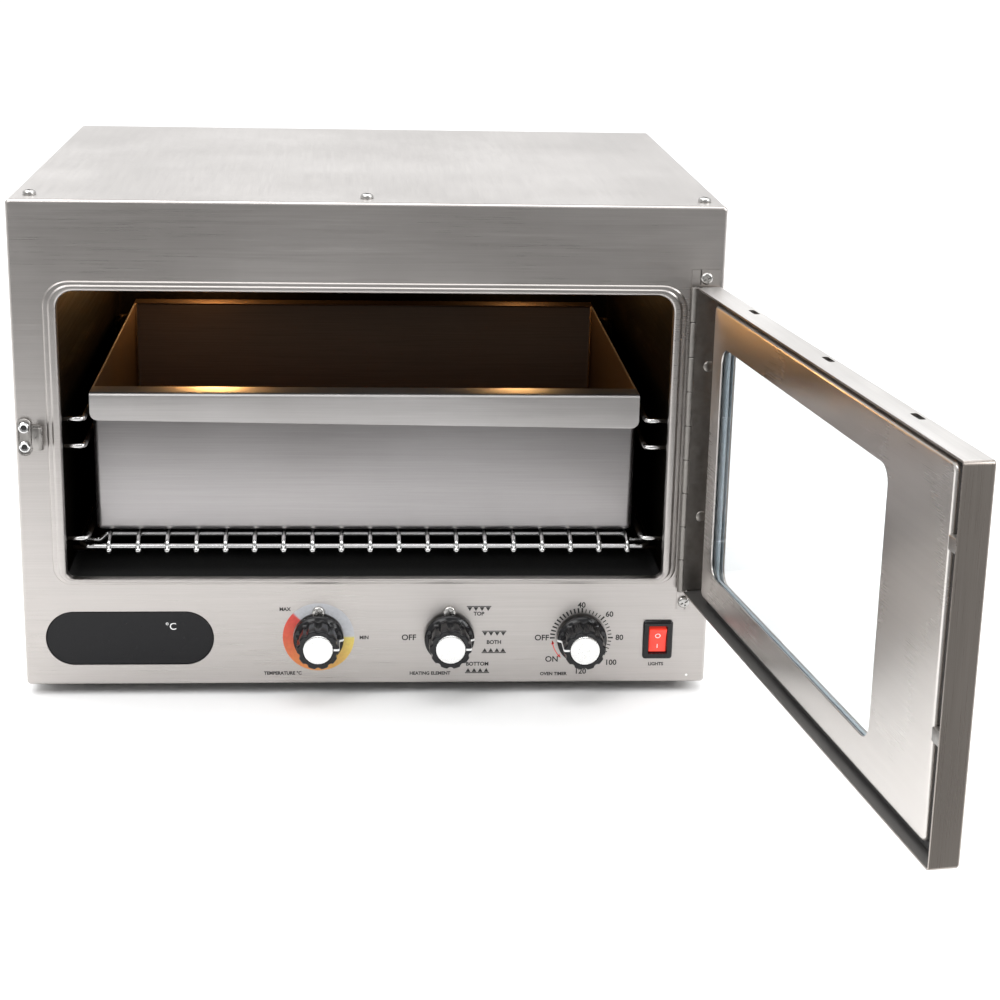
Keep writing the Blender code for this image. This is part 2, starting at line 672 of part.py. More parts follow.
def build_door(hinge):
    first = DOOR_ZERO - DOOR_HINGE_EDGE
    last = DOOR_ZERO - DOOR_FREE_EDGE
    outer = door_box(first, last, DOOR_LOW, DOOR_HIGH)
    window = door_box(37.4, 263.4, 71.0, 204.0)
    rings = [
        (rounded(grown(outer, -1.5), 1.0), b_level(DOOR_DEPTH)),
        (rounded(grown(outer, -0.4), 1.5), b_level(DOOR_DEPTH - 0.4)),
        (rounded(outer, 2.0), b_level(DOOR_DEPTH - 1.5)),
        (rounded(outer, 2.0), b_level(0.0)),
        (rounded(grown(outer, -SHEET), 1.2), b_level(0.0)),
        (rounded(grown(outer, -SHEET), 1.2), b_level(DOOR_DEPTH - SHEET)),
        (rounded(window, 8.0), b_level(DOOR_DEPTH - SHEET)),
        (rounded(window, 8.0), b_level(DOOR_DEPTH)),
    ]
    shell = door_add("door_shell", [loft("Y", rings, closed=True)], "brushed_steel", hinge)
    holes = [door_block(-2.0, 5.2, -2.0, 2.4, DOOR_LOW - 5, DOOR_HIGH + 5)]
    for a in (66.4, 166.9, 266.0):
        holes.append(door_block(a - 5, a + 5, 7.6, 10.6, DOOR_HIGH - 4, DOOR_HIGH + 4))
        holes.append(door_block(a - 5, a + 5, 7.6, 10.6, DOOR_LOW - 4, DOOR_LOW + 4))
    rivets = [("upper", 178.3), ("lower", 97.8)]
    rivet_y = b_level(8.0)
    for _, z in rivets:
        x = door_point(0.0, 0.0)[0]
        holes.append(prism("X", circle((rivet_y, z), 1.9, 8), x - 6.0, x + 3.0))
    door_cut(shell, holes)

    inner = door_box(24.0, 317.0, 61.0, 215.0)
    sight = door_box(45.8, 255.0, 79.0, 196.0)
    rings = [
        (rounded(grown(inner, -2.4), 2.0), b_level(3.2)),
        (rounded(grown(inner, -0.7), 3.0), b_level(3.9)),
        (rounded(inner, 3.0), b_level(5.6)),
        (rounded(inner, 3.0), b_level(11.6)),
        (rounded(grown(inner, -0.8), 2.2), b_level(11.6)),
        (rounded(grown(inner, -0.8), 2.2), b_level(5.6)),
        (rounded(grown(inner, -1.4), 2.2), b_level(4.4)),
        (rounded(grown(inner, -2.6), 1.6), b_level(4.0)),
        (rounded(sight, 8.0), b_level(4.0)),
        (rounded(sight, 8.0), b_level(3.2)),
    ]
    door_add("door_inner_panel", [loft("Y", rings, closed=True)], "brushed_steel", hinge)
    glass = door_box(33.0, 268.0, 68.0, 207.0)
    for name, low, high in (("inner", 4.3, 7.3), ("outer", 9.1, 12.0)):
        pane = prism("Y", rounded(glass, 3.0, 1), b_level(high), b_level(low))
        door_add("door_" + name + "_glass", [pane], "door_glass", hinge)
    frame = [(rounded(grown(glass, -0.5), 2.5), b_level(7.6)), (rounded(grown(glass, -0.5), 2.5), b_level(8.8))]
    frame += [(rounded(grown(glass, -8.0), 4.0), b_level(8.8)), (rounded(grown(glass, -8.0), 4.0), b_level(7.6))]
    door_add("door_glass_spacer", [loft("Y", frame, closed=True)], "bright_aluminium", hinge)

    left, right = door_box(26.0, last - SHEET - GAP, 0, 0)[:2]
    edge = door_point(317.4, 0)[0]
    low = DOOR_LOW + SHEET + GAP
    high = DOOR_HIGH - SHEET - GAP
    seal = [
        (right, low), (right, 60.7), (edge, 60.7), (edge, 215.3), (right, 215.3), (right, high),
        (left + 1.5, high), (left, high - 1.5), (left, low + 1.5), (left + 1.5, low),
    ]
    strip = door_add("door_seal", [prism("Y", seal, b_level(11.4), b_level(6.2))], "black_rubber", hinge)
    door_join(strip, [door_block(317.6, last - 1.5, 2.6, 6.6, z - 3, z + 3) for z in (185.0, 108.0)])

    leaf_a = (3.4, 4.2)
    leaf = door_add(
        "hinge_door_leaf", [door_block(*leaf_a, 2.4, 11.9, DOOR_LOW + 1.5, DOOR_HIGH - 1.5)], "dark_steel", hinge
    )
    shells = []
    for low, high in knuckle_spans()[1::2]:
        shells.append(bored("Z", HINGE, KNUCKLE, KNUCKLE_BORE, low, high, 10))
        shells.append(door_block(leaf_a[0] + 0.02, leaf_a[1] - 0.02, 0.0, 3.4, low + 0.1, high - 0.1))
    door_join(leaf, shells)
    centres = [(rivet_y, z) for _, z in rivets]
    x = door_point(0.0, 0.0)[0]
    door_cut(leaf, [prism("X", circle(centre, 1.9, 8), x - 6.0, x + 3.0) for centre in centres])
    head = door_point(leaf_a[1] + GAP, 0.0)[0]
    tail = door_point(first + 0.1, 0.0)[0]
    for (name, _), centre in zip(rivets, centres):
        profile = [(1.5, tail), (1.5, head), (3.0, head), (2.6, head - 0.7), (1.4, head - 1.2)]
        door_add("leaf_rivet_" + name, [turned("X", centre, profile, 10)], "bright_aluminium", hinge)


def build_latch(hinge):
    mid = LATCH_HEIGHT
    base = rounded(door_box(286.0, 324.0, mid - 9.0, mid + 9.0), 3.0, 2)
    item = door_add("latch_base", [prism("Y", base, b_level(14.6), b_level(13.6))], "bright_aluminium", hinge)
    pivot = door_point(*LEVER_PIVOT)
    shells = [turned("Z", pivot, [(1.2, mid - 7.2), (1.2, mid + 7.2)], 8)]
    for side in (-1, 1):
        low, high = sorted((mid + side * 6.1, mid + side * 6.9))
        lug = [door_point(a, b) for a, b in ((302.0, 14.3), (314.0, 14.3), (311.0, 19.4), (305.0, 19.4))]
        shells.append(prism("Z", lug, low, high))
    door_join(item, shells)

    arc = [math.radians(angle) for angle in (-90, -45, 0, 45, 80)]
    shape = [(LEVER_PIVOT[0] + 2.6 * math.cos(t), LEVER_PIVOT[1] + 2.6 * math.sin(t)) for t in arc]
    shape += [(296.0, 20.4), (269.0, 20.4), (266.6, 22.2), (265.8, 21.2), (268.6, 19.2), (294.0, 19.2), (295.2, 15.2)]
    blade = prism("Z", [door_point(a, b) for a, b in shape], mid - 5.4, mid + 5.4)
    lever_axis = fixed_empty("latch_lever_axis", (pivot[0] - HINGE[0], pivot[1] - HINGE[1], mid), 0.0, hinge)
    lever = door_add("latch_lever", [blade], "bright_aluminium", hinge, LEVER_PIVOT)
    lever_axis.empty_display_size = 0.005
    holes = [prism("Z", circle(pivot, 1.6, 10), mid - 9, mid + 9)]
    holes.append(prism("Z", circle(door_point(*BAIL_PIVOT), 1.4, 10), mid - 9, mid + 9))
    door_cut(lever, holes)

    start = Vector((*door_point(*BAIL_PIVOT), 0.0))
    reach = Vector((-168.6, -154.8, 0.0))
    arm = [start, Vector((reach.x + 1.6, start.y, 0.0)), Vector((reach.x, start.y + 1.6, 0.0)), reach]
    fold = Matrix.Rotation(math.radians(BAIL_FOLDED), 3, "Z")
    arm = [start + fold @ (point - start) for point in arm]
    path = [(arm[0].x, arm[0].y, mid - 3.4)]
    path += [(point.x, point.y, mid - BAIL_HALF) for point in arm]
    path += [(point.x, point.y, mid + BAIL_HALF) for point in reversed(arm)]
    path.append((arm[0].x, arm[0].y, mid + 3.4))
    door_add("latch_bail", [wire(path, 1.0)], "chrome_wire", hinge, BAIL_PIVOT)


def main():
    clear_scene()
    make_materials()
    build_front_panel()
    build_wrap()
    build_rear_cover()
    build_base()
    build_cavity()
    build_racks()
    build_shelf()
    build_pan()
    build_controls()
    build_light_switch()
    build_fixed_hinge()
    build_keeper()
    hinge = fixed_empty("door_hinge_axis", (HINGE[0], HINGE[1], 0.0), DOOR_OPEN)
    build_door(hinge)
    build_latch(hinge)


main()
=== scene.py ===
"""Looks of the small counter-top oven: finished meshes, procedural materials, studio and camera.

Lengths are in millimetres until a mesh is made.
"""

import json
import math

import bmesh
import bpy
from mathutils import Matrix, Vector


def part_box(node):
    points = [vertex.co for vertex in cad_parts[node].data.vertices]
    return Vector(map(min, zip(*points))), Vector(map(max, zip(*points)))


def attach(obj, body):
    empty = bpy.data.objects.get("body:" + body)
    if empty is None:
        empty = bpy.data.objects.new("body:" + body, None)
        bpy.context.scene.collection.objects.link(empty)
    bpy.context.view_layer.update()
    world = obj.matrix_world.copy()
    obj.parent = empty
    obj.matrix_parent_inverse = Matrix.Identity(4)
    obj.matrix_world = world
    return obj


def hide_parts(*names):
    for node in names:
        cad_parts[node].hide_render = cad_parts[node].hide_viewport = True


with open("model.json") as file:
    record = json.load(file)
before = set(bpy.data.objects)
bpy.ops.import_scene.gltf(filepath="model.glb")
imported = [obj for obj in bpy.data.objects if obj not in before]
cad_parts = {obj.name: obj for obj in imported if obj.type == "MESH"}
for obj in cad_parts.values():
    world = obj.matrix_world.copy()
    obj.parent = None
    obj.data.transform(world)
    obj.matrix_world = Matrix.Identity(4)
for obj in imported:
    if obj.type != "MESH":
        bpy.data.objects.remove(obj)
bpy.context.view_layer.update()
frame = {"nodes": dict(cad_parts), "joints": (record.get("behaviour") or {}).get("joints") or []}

MM = 0.001
UP = Vector((0, 0, 1))


def box(node):
    """A CAD node's box in millimetres: x0, x1, y0, y1, z0, z1."""
    low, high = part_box(node)
    return (low.x / MM, high.x / MM, low.y / MM, high.y / MM, low.z / MM, high.z / MM)


def joint(name):
    return next(j for j in frame["joints"] if j["name"] == name)


def joint_at(name):
    return [value / MM for value in joint(name)["pos_m"]]


PANEL = box("front_panel")
LEFT, RIGHT, LOW, HIGH = PANEL[0], PANEL[1], PANEL[4], PANEL[5]
# The outer faces of the front panel and the rear cover, and the thickness of the sheet metal.
FRONT = -151.0
BACK = box("rear_cover")[3]
SHEET = 1.0
# The opening, with the radii of its upper and lower corners, and the outer edge of the bead round it.
OPENING = (-157.0, 154.7, 62.2, 214.2)
OPENING_CORNER = 9.0
OPENING_LOWER = 4.5
BEAD = (-163.9, 161.9, 59.0, 219.3)
ROOF_SCREWS = (("left", -170.1), ("middle", -1.7), ("right", 170.4))
ROOF_SCREW_Y = -135.0
LATCH_Z = 139.0
INK_RISE = 0.02
HINGE = joint_at("door_hinge")
# The angle in degrees at which the door stands open, and its measures: lengths a run from its hinged side, and
# depths b from its inner rim.
DOOR_OPEN = 98.2
DOOR_ZERO = 1.9
DOOR_RIM = -0.3
DOOR_LOW = 55.7
DOOR_HIGH = 219.5
DOOR_FIRST = 2.1
DOOR_LAST = 330.0
DOOR_DEPTH = 13.3
# The middle of the cavity.
CENTRE_X = -1.15

# ---------------------------------------------------------------- outlines and shells


def arc(u, v, reach_u, reach_v, start, end, steps):
    """Points of an elliptical arc about (u, v), from one angle in degrees to another, both ends included."""
    angles = [math.radians(start + (end - start) * step / steps) for step in range(steps + 1)]
    return [(u + reach_u * math.cos(angle), v + reach_v * math.sin(angle)) for angle in angles]


def rounded(rect, radius, steps=8, lower=None):
    """A rectangle's outline with round corners. Lower is the radius of the lower two, where it differs."""
    left, right, low, high = rect
    radius = min(radius, (right - left) / 2 - 0.001, (high - low) / 2 - 0.001)
    lower = radius if lower is None else lower
    corners = (
        (right - lower, low + lower, lower, -90), (right - radius, high - radius, radius, 0),
        (left + radius, high - radius, radius, 90), (left + lower, low + lower, lower, 180),
    )
    outline = []
    for u, v, reach, start in corners:
        outline += arc(u, v, reach, reach, start, start + 90, steps)
    return outline


def grown(rect, by):
    return (rect[0] - by, rect[1] + by, rect[2] - by, rect[3] + by)


def stack(rect, stages, steps=8):
    """Rings of a rounded rectangle. A stage is how far it grows, its corner radius and its level."""
    return [(rounded(grown(rect, by), radius, steps), level) for by, radius, level in stages]


def folded(rect, bend, corner, ease, count, level_at, steps=8):
    """Rings of a sheet's rounded edge, from its face to its side. Level_at turns a depth into a level."""
    rings = []
    for across, up in arc(0.0, 0.0, bend, bend, 0, 90, count):
        inset = bend - up
        rings.append((rounded(grown(rect, -inset), corner - inset * ease, steps), level_at(bend - across)))
    return rings


def blended(first, second, part):
    return tuple(a + (b - a) * part for a, b in zip(first, second))


def circle(centre, radius, sides=40):
    angles = [2 * math.pi / sides * i for i in range(sides)]
    return [(centre[0] + radius * math.cos(angle), centre[1] + radius * math.sin(angle)) for angle in angles]


def place(axis, u, v, level):
    return {"X": (level, u, v), "Y": (u, level, v), "Z": (u, v, level)}[axis]


def loft(axis, rings, closed=False):
    count = len(rings[0][0])
    points = [place(axis, u, v, level) for outline, level in rings for u, v in outline]
    faces = []
    for i in range(len(rings) if closed else len(rings) - 1):
        j = (i + 1) % len(rings)
        for k in range(count):
            m = (k + 1) % count
            faces.append((i * count + k, i * count + m, j * count + m, j * count + k))
    if not closed:
        faces.append(tuple(range(count)))
        faces.append(tuple(range((len(rings) - 1) * count, len(rings) * count)))
    return points, faces


def prism(axis, outline, low, high):
    return loft(axis, [(outline, low), (outline, high)])


def block(x0, x1, y0, y1, z0, z1):
    return prism("Z", [(x0, y0), (x1, y0), (x1, y1), (x0, y1)], z0, z1)


def turned(axis, centre, profile, sides=40, closed=False):
    return loft(axis, [(circle(centre, radius, sides), level) for radius, level in profile], closed)


def filleted(path, radius, steps=6, closed=False):
    """The path with each corner rounded."""
    path = [Vector(p) for p in path]
    count = len(path)
    result = []
    for i, here in enumerate(path):
        if not closed and i in (0, count - 1):
            result.append(here)
            continue
        before = path[i - 1] - here
        after = path[(i + 1) % count] - here
        angle = before.angle(after)
        if angle > math.radians(176):
            result.append(here)
            continue
        reach = min(radius / math.tan(angle / 2), before.length * 0.48, after.length * 0.48)
        start = here + before.normalized() * reach
        end = here + after.normalized() * reach
        for step in range(steps + 1):
            t = step / steps
            result.append(start * (1 - t) ** 2 + here * 2 * t * (1 - t) + end * t ** 2)
    return result


def beside(line, by):
    """The points of a flat line, each moved sideways by a distance."""
    moved = []
    for i, point in enumerate(line):
        way = (line[min(i + 1, len(line) - 1)] - line[max(i - 1, 0)]).normalized()
        moved.append((point.x - way.y * by, point.y + way.x * by))
    return moved


def wire(path, radius, sides=14, closed=False):
    """A round wire along a path, with slightly domed ends where it is open."""
    path = [Vector(point) for point in path]
    if not closed:
        head = (path[0] - path[1]).normalized() * radius * 0.35
        tail = (path[-1] - path[-2]).normalized() * radius * 0.35
        path = [path[0] + head] + path + [path[-1] + tail]
    count = len(path)
    last = count if closed else count - 1
    ways = [(path[(i + 1) % count] - path[i]).normalized() for i in range(last)]
    first = ways[-1] if closed else ways[0]
    across = first.orthogonal().normalized() if abs(first.z) > 0.9 else first.cross(UP).normalized()
    points = []
    for i in range(count):
        arriving = ways[(i - 1) % last] if closed or i else ways[0]
        leaving = ways[i % last] if closed or i < last else ways[-1]
        across = (across - arriving * across.dot(arriving)).normalized()
        upright = arriving.cross(across)
        normal = (arriving + leaving).normalized()
        size = radius * (0.72 if not closed and i in (0, count - 1) else 1.0)
        for k in range(sides):
            angle = 2 * math.pi * k / sides
            offset = (across * math.cos(angle) + upright * math.sin(angle)) * size
            points.append(tuple(path[i] + offset - arriving * (offset.dot(normal) / arriving.dot(normal))))
        across = arriving.rotation_difference(leaving) @ across
    faces = []
    for i in range(last):
        j = (i + 1) % count
        for k in range(sides):
            m = (k + 1) % sides
            faces.append((i * sides + k, i * sides + m, j * sides + m, j * sides + k))
    if not closed:
        faces.append(tuple(range(sides)))
        faces.append(tuple(range((count - 1) * sides, count * sides)))
    return points, faces


# ---------------------------------------------------------------- pieces


def linked(name, data):
    item = bpy.data.objects.new(name, data)
    bpy.context.scene.collection.objects.link(item)
    return item


def mesh_object(name, shells, material=None, matrix=None):
    points = []
    faces = []
    for shell_points, shell_faces in shells:
        start = len(points)
        points += [Vector(p) for p in shell_points]
        faces += [tuple(start + i for i in face) for face in shell_faces]
    if matrix:
        points = [matrix @ p for p in points]
    mesh = bpy.data.meshes.new(name)
    mesh.from_pydata([p * MM for p in points], [], faces)
    work = bmesh.new()
    work.from_mesh(mesh)
    bmesh.ops.recalc_face_normals(work, faces=work.faces[:])
    work.to_mesh(mesh)
    work.free()
    if material:
        mesh.materials.append(material)
    return linked(name, mesh)


def settle(item):
    """Replaces the mesh by what its modifiers make of it."""
    graph = bpy.context.evaluated_depsgraph_get()
    mesh = bpy.data.meshes.new_from_object(item.evaluated_get(graph))
    item.modifiers.clear()
    item.data = mesh


def carve(item, shells, operation="DIFFERENCE", matrix=None):
    other = mesh_object(item.name + "_tool", shells, None, matrix)
    modifier = item.modifiers.new("carve", "BOOLEAN")
    modifier.operation = operation
    modifier.solver = "EXACT"
    modifier.object = other
    settle(item)
    bpy.data.objects.remove(other)


def soften(item, width, segments=2, angle=40.0):
    bevel = item.modifiers.new("soften", "BEVEL")
    bevel.width = width * MM
    bevel.segments = segments
    bevel.limit_method = "ANGLE"
    bevel.angle_limit = math.radians(angle)
    settle(item)


def finish_piece(item, body, nodes=(), sharp=35.0):
    mesh = item.data
    mesh.polygons.foreach_set("use_smooth", [True] * len(mesh.polygons))
    mesh.set_sharp_from_angle(angle=math.radians(sharp))
    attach(item, body)
    if nodes:
        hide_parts(*nodes)


def piece(name, shells, material, body, nodes=(), matrix=None, soft=0.0, sharp=35.0):
    item = mesh_object(name, shells, material, matrix)
    if soft:
        soften(item, soft)
    finish_piece(item, body, nodes, sharp)


# ---------------------------------------------------------------- materials


class Finish:
    """A Principled material and the nodes that feed it."""

    def __init__(self, name, colour, metallic=0.0, roughness=0.5):
        self.material = bpy.data.materials.new(name)
        self.material.use_nodes = True
        self.tree = self.material.node_tree
        self.shader = self.tree.nodes["Principled BSDF"]
        self.set("Base Color", (*colour, 1.0))
        self.set("Metallic", metallic)
        self.set("Roughness", roughness)
        self.place = self.node("ShaderNodeTexCoord").outputs["Object"]

    def set(self, socket, value):
        self.shader.inputs[socket].default_value = value

    def node(self, kind, **values):
        made = self.tree.nodes.new(kind)
        for key, value in values.items():
            setattr(made, key, value)
        return made

    def link(self, output, target):
        self.tree.links.new(output, target)

    def mapped(self, scale, turn=0.0):
        """Object coordinates turned about Z, then scaled."""
        turned_by = self.node("ShaderNodeMapping")
        turned_by.inputs["Rotation"].default_value = (0.0, 0.0, math.radians(-turn))
        self.link(self.place, turned_by.inputs["Vector"])
        scaled = self.node("ShaderNodeMapping")
        scaled.inputs["Scale"].default_value = scale
        self.link(turned_by.outputs["Vector"], scaled.inputs["Vector"])
        return scaled.outputs["Vector"]

    def noise(self, vector, scale=1.0, detail=3.0, rough=0.5):
        made = self.node("ShaderNodeTexNoise")
        made.inputs["Scale"].default_value = scale
        made.inputs["Detail"].default_value = detail
        made.inputs["Roughness"].default_value = rough
        self.link(vector, made.inputs["Vector"])
        return made.outputs["Fac"]

    def ramp(self, value, stops):
        made = self.node("ShaderNodeValToRGB")
        while len(made.color_ramp.elements) < len(stops):
            made.color_ramp.elements.new(0.5)
        for element, (position, colour) in zip(made.color_ramp.elements, stops):
            element.position = position
            element.color = (*colour, 1.0)
        self.link(value, made.inputs["Fac"])
        return made.outputs["Color"]

    def spread(self, value, low, high, start=0.3, end=0.7):
        made = self.node("ShaderNodeMapRange")
        for socket, number in (("From Min", start), ("From Max", end), ("To Min", low), ("To Max", high)):
            made.inputs[socket].default_value = number
        self.link(value, made.inputs["Value"])
        return made.outputs["Result"]

    def maths(self, operation, first, second):
        made = self.node("ShaderNodeMath", operation=operation)
        self.link(first, made.inputs[0])
        if isinstance(second, float):
            made.inputs[1].default_value = second
        else:
            self.link(second, made.inputs[1])
        return made.outputs["Value"]

    def mixed(self, first, second):
        """One colour multiplied by another."""
        made = self.node("ShaderNodeMix", data_type="RGBA", blend_type="MULTIPLY")
        made.inputs[0].default_value = 1.0
        self.link(first, made.inputs[6])
        self.link(second, made.inputs[7])
        return made.outputs[2]

    def bump(self, value, strength, distance):
        made = self.node("ShaderNodeBump")
        made.inputs["Strength"].default_value = strength
        made.inputs["Distance"].default_value = distance * MM
        self.link(value, made.inputs["Height"])
        self.link(made.outputs["Normal"], self.shader.inputs["Normal"])

    def feed(self, socket, output):
        self.link(output, self.shader.inputs[socket])


def brushed(
    name, dark, light, rough=(0.26, 0.36), turn=0.0, grain=(22.0, 2600.0, 2600.0), strength=0.05, edge=1.0
):
    """Sheet steel with fine lines along one way, a little smudged. Edge is how bright it is seen edge on."""
    finish = Finish(name, light, 1.0, rough[0])
    finish.set("Specular Tint", (edge, edge, edge, 1.0))
    fine = finish.noise(finish.mapped(grain, turn), 1.0, 4.0, 0.65)
    broad = finish.noise(finish.mapped([g * 0.4 if g < 100.0 else 260.0 for g in grain], turn), 1.0, 2.0)
    smudge = finish.noise(finish.mapped((9.0, 9.0, 9.0)), 1.0, 3.0)
    tone = finish.ramp(fine, ((0.25, dark), (0.75, light)))
    cloud = finish.ramp(broad, ((0.3, (0.96, 0.96, 0.96)), (0.7, (1.0, 1.0, 1.0))))
    stain = finish.ramp(smudge, ((0.38, (0.95, 0.945, 0.94)), (0.62, (1.0, 1.0, 1.0))))
    finish.feed("Base Color", finish.mixed(finish.mixed(tone, cloud), stain))
    total = finish.maths("ADD", finish.spread(fine, rough[0], rough[1]), finish.spread(smudge, -0.03, 0.05))
    finish.feed("Roughness", total)
    finish.bump(fine, strength, 0.02)
    return finish.material


def shade_painted_wire(name, near, far, start, end):
    """Bright wire that turns dull and dark brown between the depths start and end: painted shade where it runs
    back into the dark oven.
    """
    finish = Finish(name, near, 1.0, 0.2)
    split = finish.node("ShaderNodeSeparateXYZ")
    finish.link(finish.place, split.inputs["Vector"])
    depth = finish.spread(split.outputs["Y"], 0.0, 1.0, start * MM, end * MM)
    tone = finish.ramp(depth, ((0.0, near), (1.0, far)))
    speck = finish.noise(finish.mapped((500.0, 500.0, 500.0)), 1.0, 4.0)
    dirt = finish.ramp(speck, ((0.3, (0.85, 0.85, 0.85)), (0.7, (1.0, 1.0, 1.0))))
    finish.feed("Base Color", finish.mixed(tone, dirt))
    dulled = finish.spread(depth, 0.14, 0.5, 0.0, 1.0)
    finish.feed("Roughness", finish.maths("ADD", dulled, finish.spread(speck, 0.0, 0.06)))
    finish.bump(speck, 0.05, 0.03)
    return finish.material


def plain_metal(name, colour, rough, mottled=0.06, scale=400.0, strength=0.05):
    finish = Finish(name, colour, 1.0, rough)
    speck = finish.noise(finish.mapped((scale, scale, scale)), 1.0, 4.0)
    darker = tuple(c * 0.86 for c in colour)
    finish.feed("Base Color", finish.ramp(speck, ((0.3, darker), (0.7, colour))))
    finish.feed("Roughness", finish.spread(speck, rough - mottled * 0.5, rough + mottled))
    finish.bump(speck, strength, 0.03)
    return finish.material


def moulded(name, colour, rough, scale=1800.0, strength=0.05, coat=0.0, gloss=0.5):
    finish = Finish(name, colour, 0.0, rough)
    grain = finish.noise(finish.mapped((scale, scale, scale)), 1.0, 2.0)
    lighter = tuple(min(1.0, c * 1.25 + 0.002) for c in colour)
    finish.feed("Base Color", finish.ramp(grain, ((0.3, colour), (0.8, lighter))))
    finish.feed("Roughness", finish.spread(grain, rough * 0.9, min(1.0, rough * 1.15)))
    finish.bump(grain, strength, 0.02)
    finish.set("Coat Weight", coat)
    finish.set("Coat Roughness", 0.04)
    finish.set("Specular IOR Level", gloss)
    return finish.material


def clear_glass(name, colour, rough=0.01):
    finish = Finish(name, colour, 0.0, rough)
    haze = finish.noise(finish.mapped((30.0, 30.0, 30.0)), 1.0, 5.0)
    finish.feed("Roughness", finish.spread(haze, rough, rough + 0.03, 0.45, 0.8))
    finish.set("Transmission Weight", 1.0)
    finish.set("IOR", 1.16)
    return finish.material


def glowing(name, colour, power, rough=0.3):
    finish = Finish(name, colour, 0.0, rough)
    cloud = finish.noise(finish.mapped((90.0, 90.0, 90.0)), 1.0, 3.0)
    darker = tuple(c * 0.8 for c in colour)
    finish.feed("Base Color", finish.ramp(cloud, ((0.3, darker), (0.7, colour))))
    finish.set("Emission Color", (*colour, 1.0))
    finish.set("Emission Strength", power)
    return finish.material


STEEL = brushed("brushed_steel", (0.463, 0.438, 0.421), (0.53, 0.504, 0.486))
# The roof is a lighter copy of the panel steel with its grain turned: painted light, for the top that the
# lamps above light more.
STEEL_ROOF_LIT = brushed(
    "brushed_steel_roof_painted_light", (0.58, 0.558, 0.543), (0.65, 0.627, 0.612), (0.3, 0.4), grain=(2600.0, 22.0, 2600.0)
)
# The door's steels are copies of one brushed steel in other tones, painted light and shade: the shell and its
# free end darker than the panel steel, the low flange darker still, the inner sheet lighter and the top rim
# lightest.
STEEL_DOOR_SHADED = brushed("brushed_steel_door_painted_shade", (0.31, 0.282, 0.26), (0.37, 0.338, 0.315), (0.24, 0.34), DOOR_OPEN)
STEEL_PANE_LIT = brushed(
    "brushed_steel_pane_painted_light", (0.613, 0.585, 0.561), (0.643, 0.615, 0.591), (0.25, 0.265), DOOR_OPEN,
    strength=0.008,
)
STEEL_RIM_LIT = brushed("brushed_steel_rim_painted_light", (0.64, 0.625, 0.61), (0.74, 0.725, 0.71), (0.34, 0.44), DOOR_OPEN)
STEEL_EDGE_SHADED = brushed(
    "brushed_steel_edge_painted_shade", (0.34, 0.305, 0.275), (0.4, 0.362, 0.33), (0.26, 0.34), grain=(2600.0, 2600.0, 22.0)
)
STEEL_LOW_SHADED = brushed("brushed_steel_low_painted_shade", (0.2, 0.196, 0.192), (0.235, 0.23, 0.226), (0.5, 0.6), DOOR_OPEN)
STEEL_DARK = brushed("dark_steel", (0.24, 0.23, 0.22), (0.38, 0.37, 0.355), (0.32, 0.46))
# The liner and its floor are near black: a dark finish, made darker still as painted shade for the inside of
# the oven.
LINER_DARK_AND_SHADED = brushed(
    "liner_steel", (0.008, 0.0065, 0.005), (0.017, 0.014, 0.011), (0.36, 0.5), 90.0, (14.0, 500.0, 500.0),
    edge=0.55,
)
PAN_METAL = brushed("pan_aluminium", (0.37, 0.355, 0.356), (0.44, 0.423, 0.424), (0.32, 0.42))
# The pan's inner faces and its rear lip take a darker, browner copy of the pan metal: painted shade, with the
# warm cast of the oven lamps painted in.
PAN_SHADED = brushed("pan_aluminium_painted_shade", (0.1, 0.07, 0.05), (0.15, 0.108, 0.08), (0.34, 0.46), edge=0.6)
# The front lip takes a lighter copy of the pan metal: painted light on its top.
PAN_LIP_LIT = brushed("pan_lip_aluminium_painted_light", (0.5, 0.485, 0.478), (0.58, 0.562, 0.555), (0.32, 0.42))
CHROME = plain_metal("chrome_wire", (0.78, 0.78, 0.78), 0.13)
# The side racks are bright at the front and painted near black, as shade, from just inside the opening back.
RACK_WIRE = shade_painted_wire("rack_wire", (0.74, 0.735, 0.73), (0.03, 0.022, 0.016), -138.5, -131.0)
BRIGHT = plain_metal("bright_aluminium", (0.52, 0.51, 0.495), 0.24)
CAP = plain_metal("knob_cap", (0.9, 0.895, 0.885), 0.24, 0.05, 900.0, 0.04)
# The hinge metal is darker than the panel steel: painted shade, for the dark band where the open door shades
# the hinge.
HINGE_METAL_SHADED = plain_metal("hinge_metal_painted_shade", (0.3, 0.283, 0.265), 0.36, 0.1)
SHEATH = plain_metal("element_sheath", (0.16, 0.14, 0.125), 0.5, 0.1)
BLACK = moulded("black_plastic", (0.005, 0.005, 0.006), 0.12, 1800.0, 0.02, 0.15, 0.3)
KEEPER = plain_metal("keeper_steel", (0.34, 0.325, 0.31), 0.3, 0.08)
RESIN = moulded("control_housing", (0.5, 0.45, 0.36), 0.5)
RUBBER = moulded("black_rubber", (0.018, 0.018, 0.018), 0.7, 1200.0, 0.2)
SEAL = moulded("seal_rubber", (0.04, 0.04, 0.04), 0.6, 1200.0, 0.2)
LINER_FLOOR_DARK_AND_SHADED = moulded("liner_floor_dark_and_shaded", (0.013, 0.013, 0.013), 0.4, 700.0, gloss=0.3)
WOOL = moulded("mineral_wool", (0.62, 0.59, 0.5), 0.95, 300.0, 0.9)
GLAZING = moulded("glazing_tape", (0.36, 0.42, 0.46), 0.5, 900.0, 0.05)
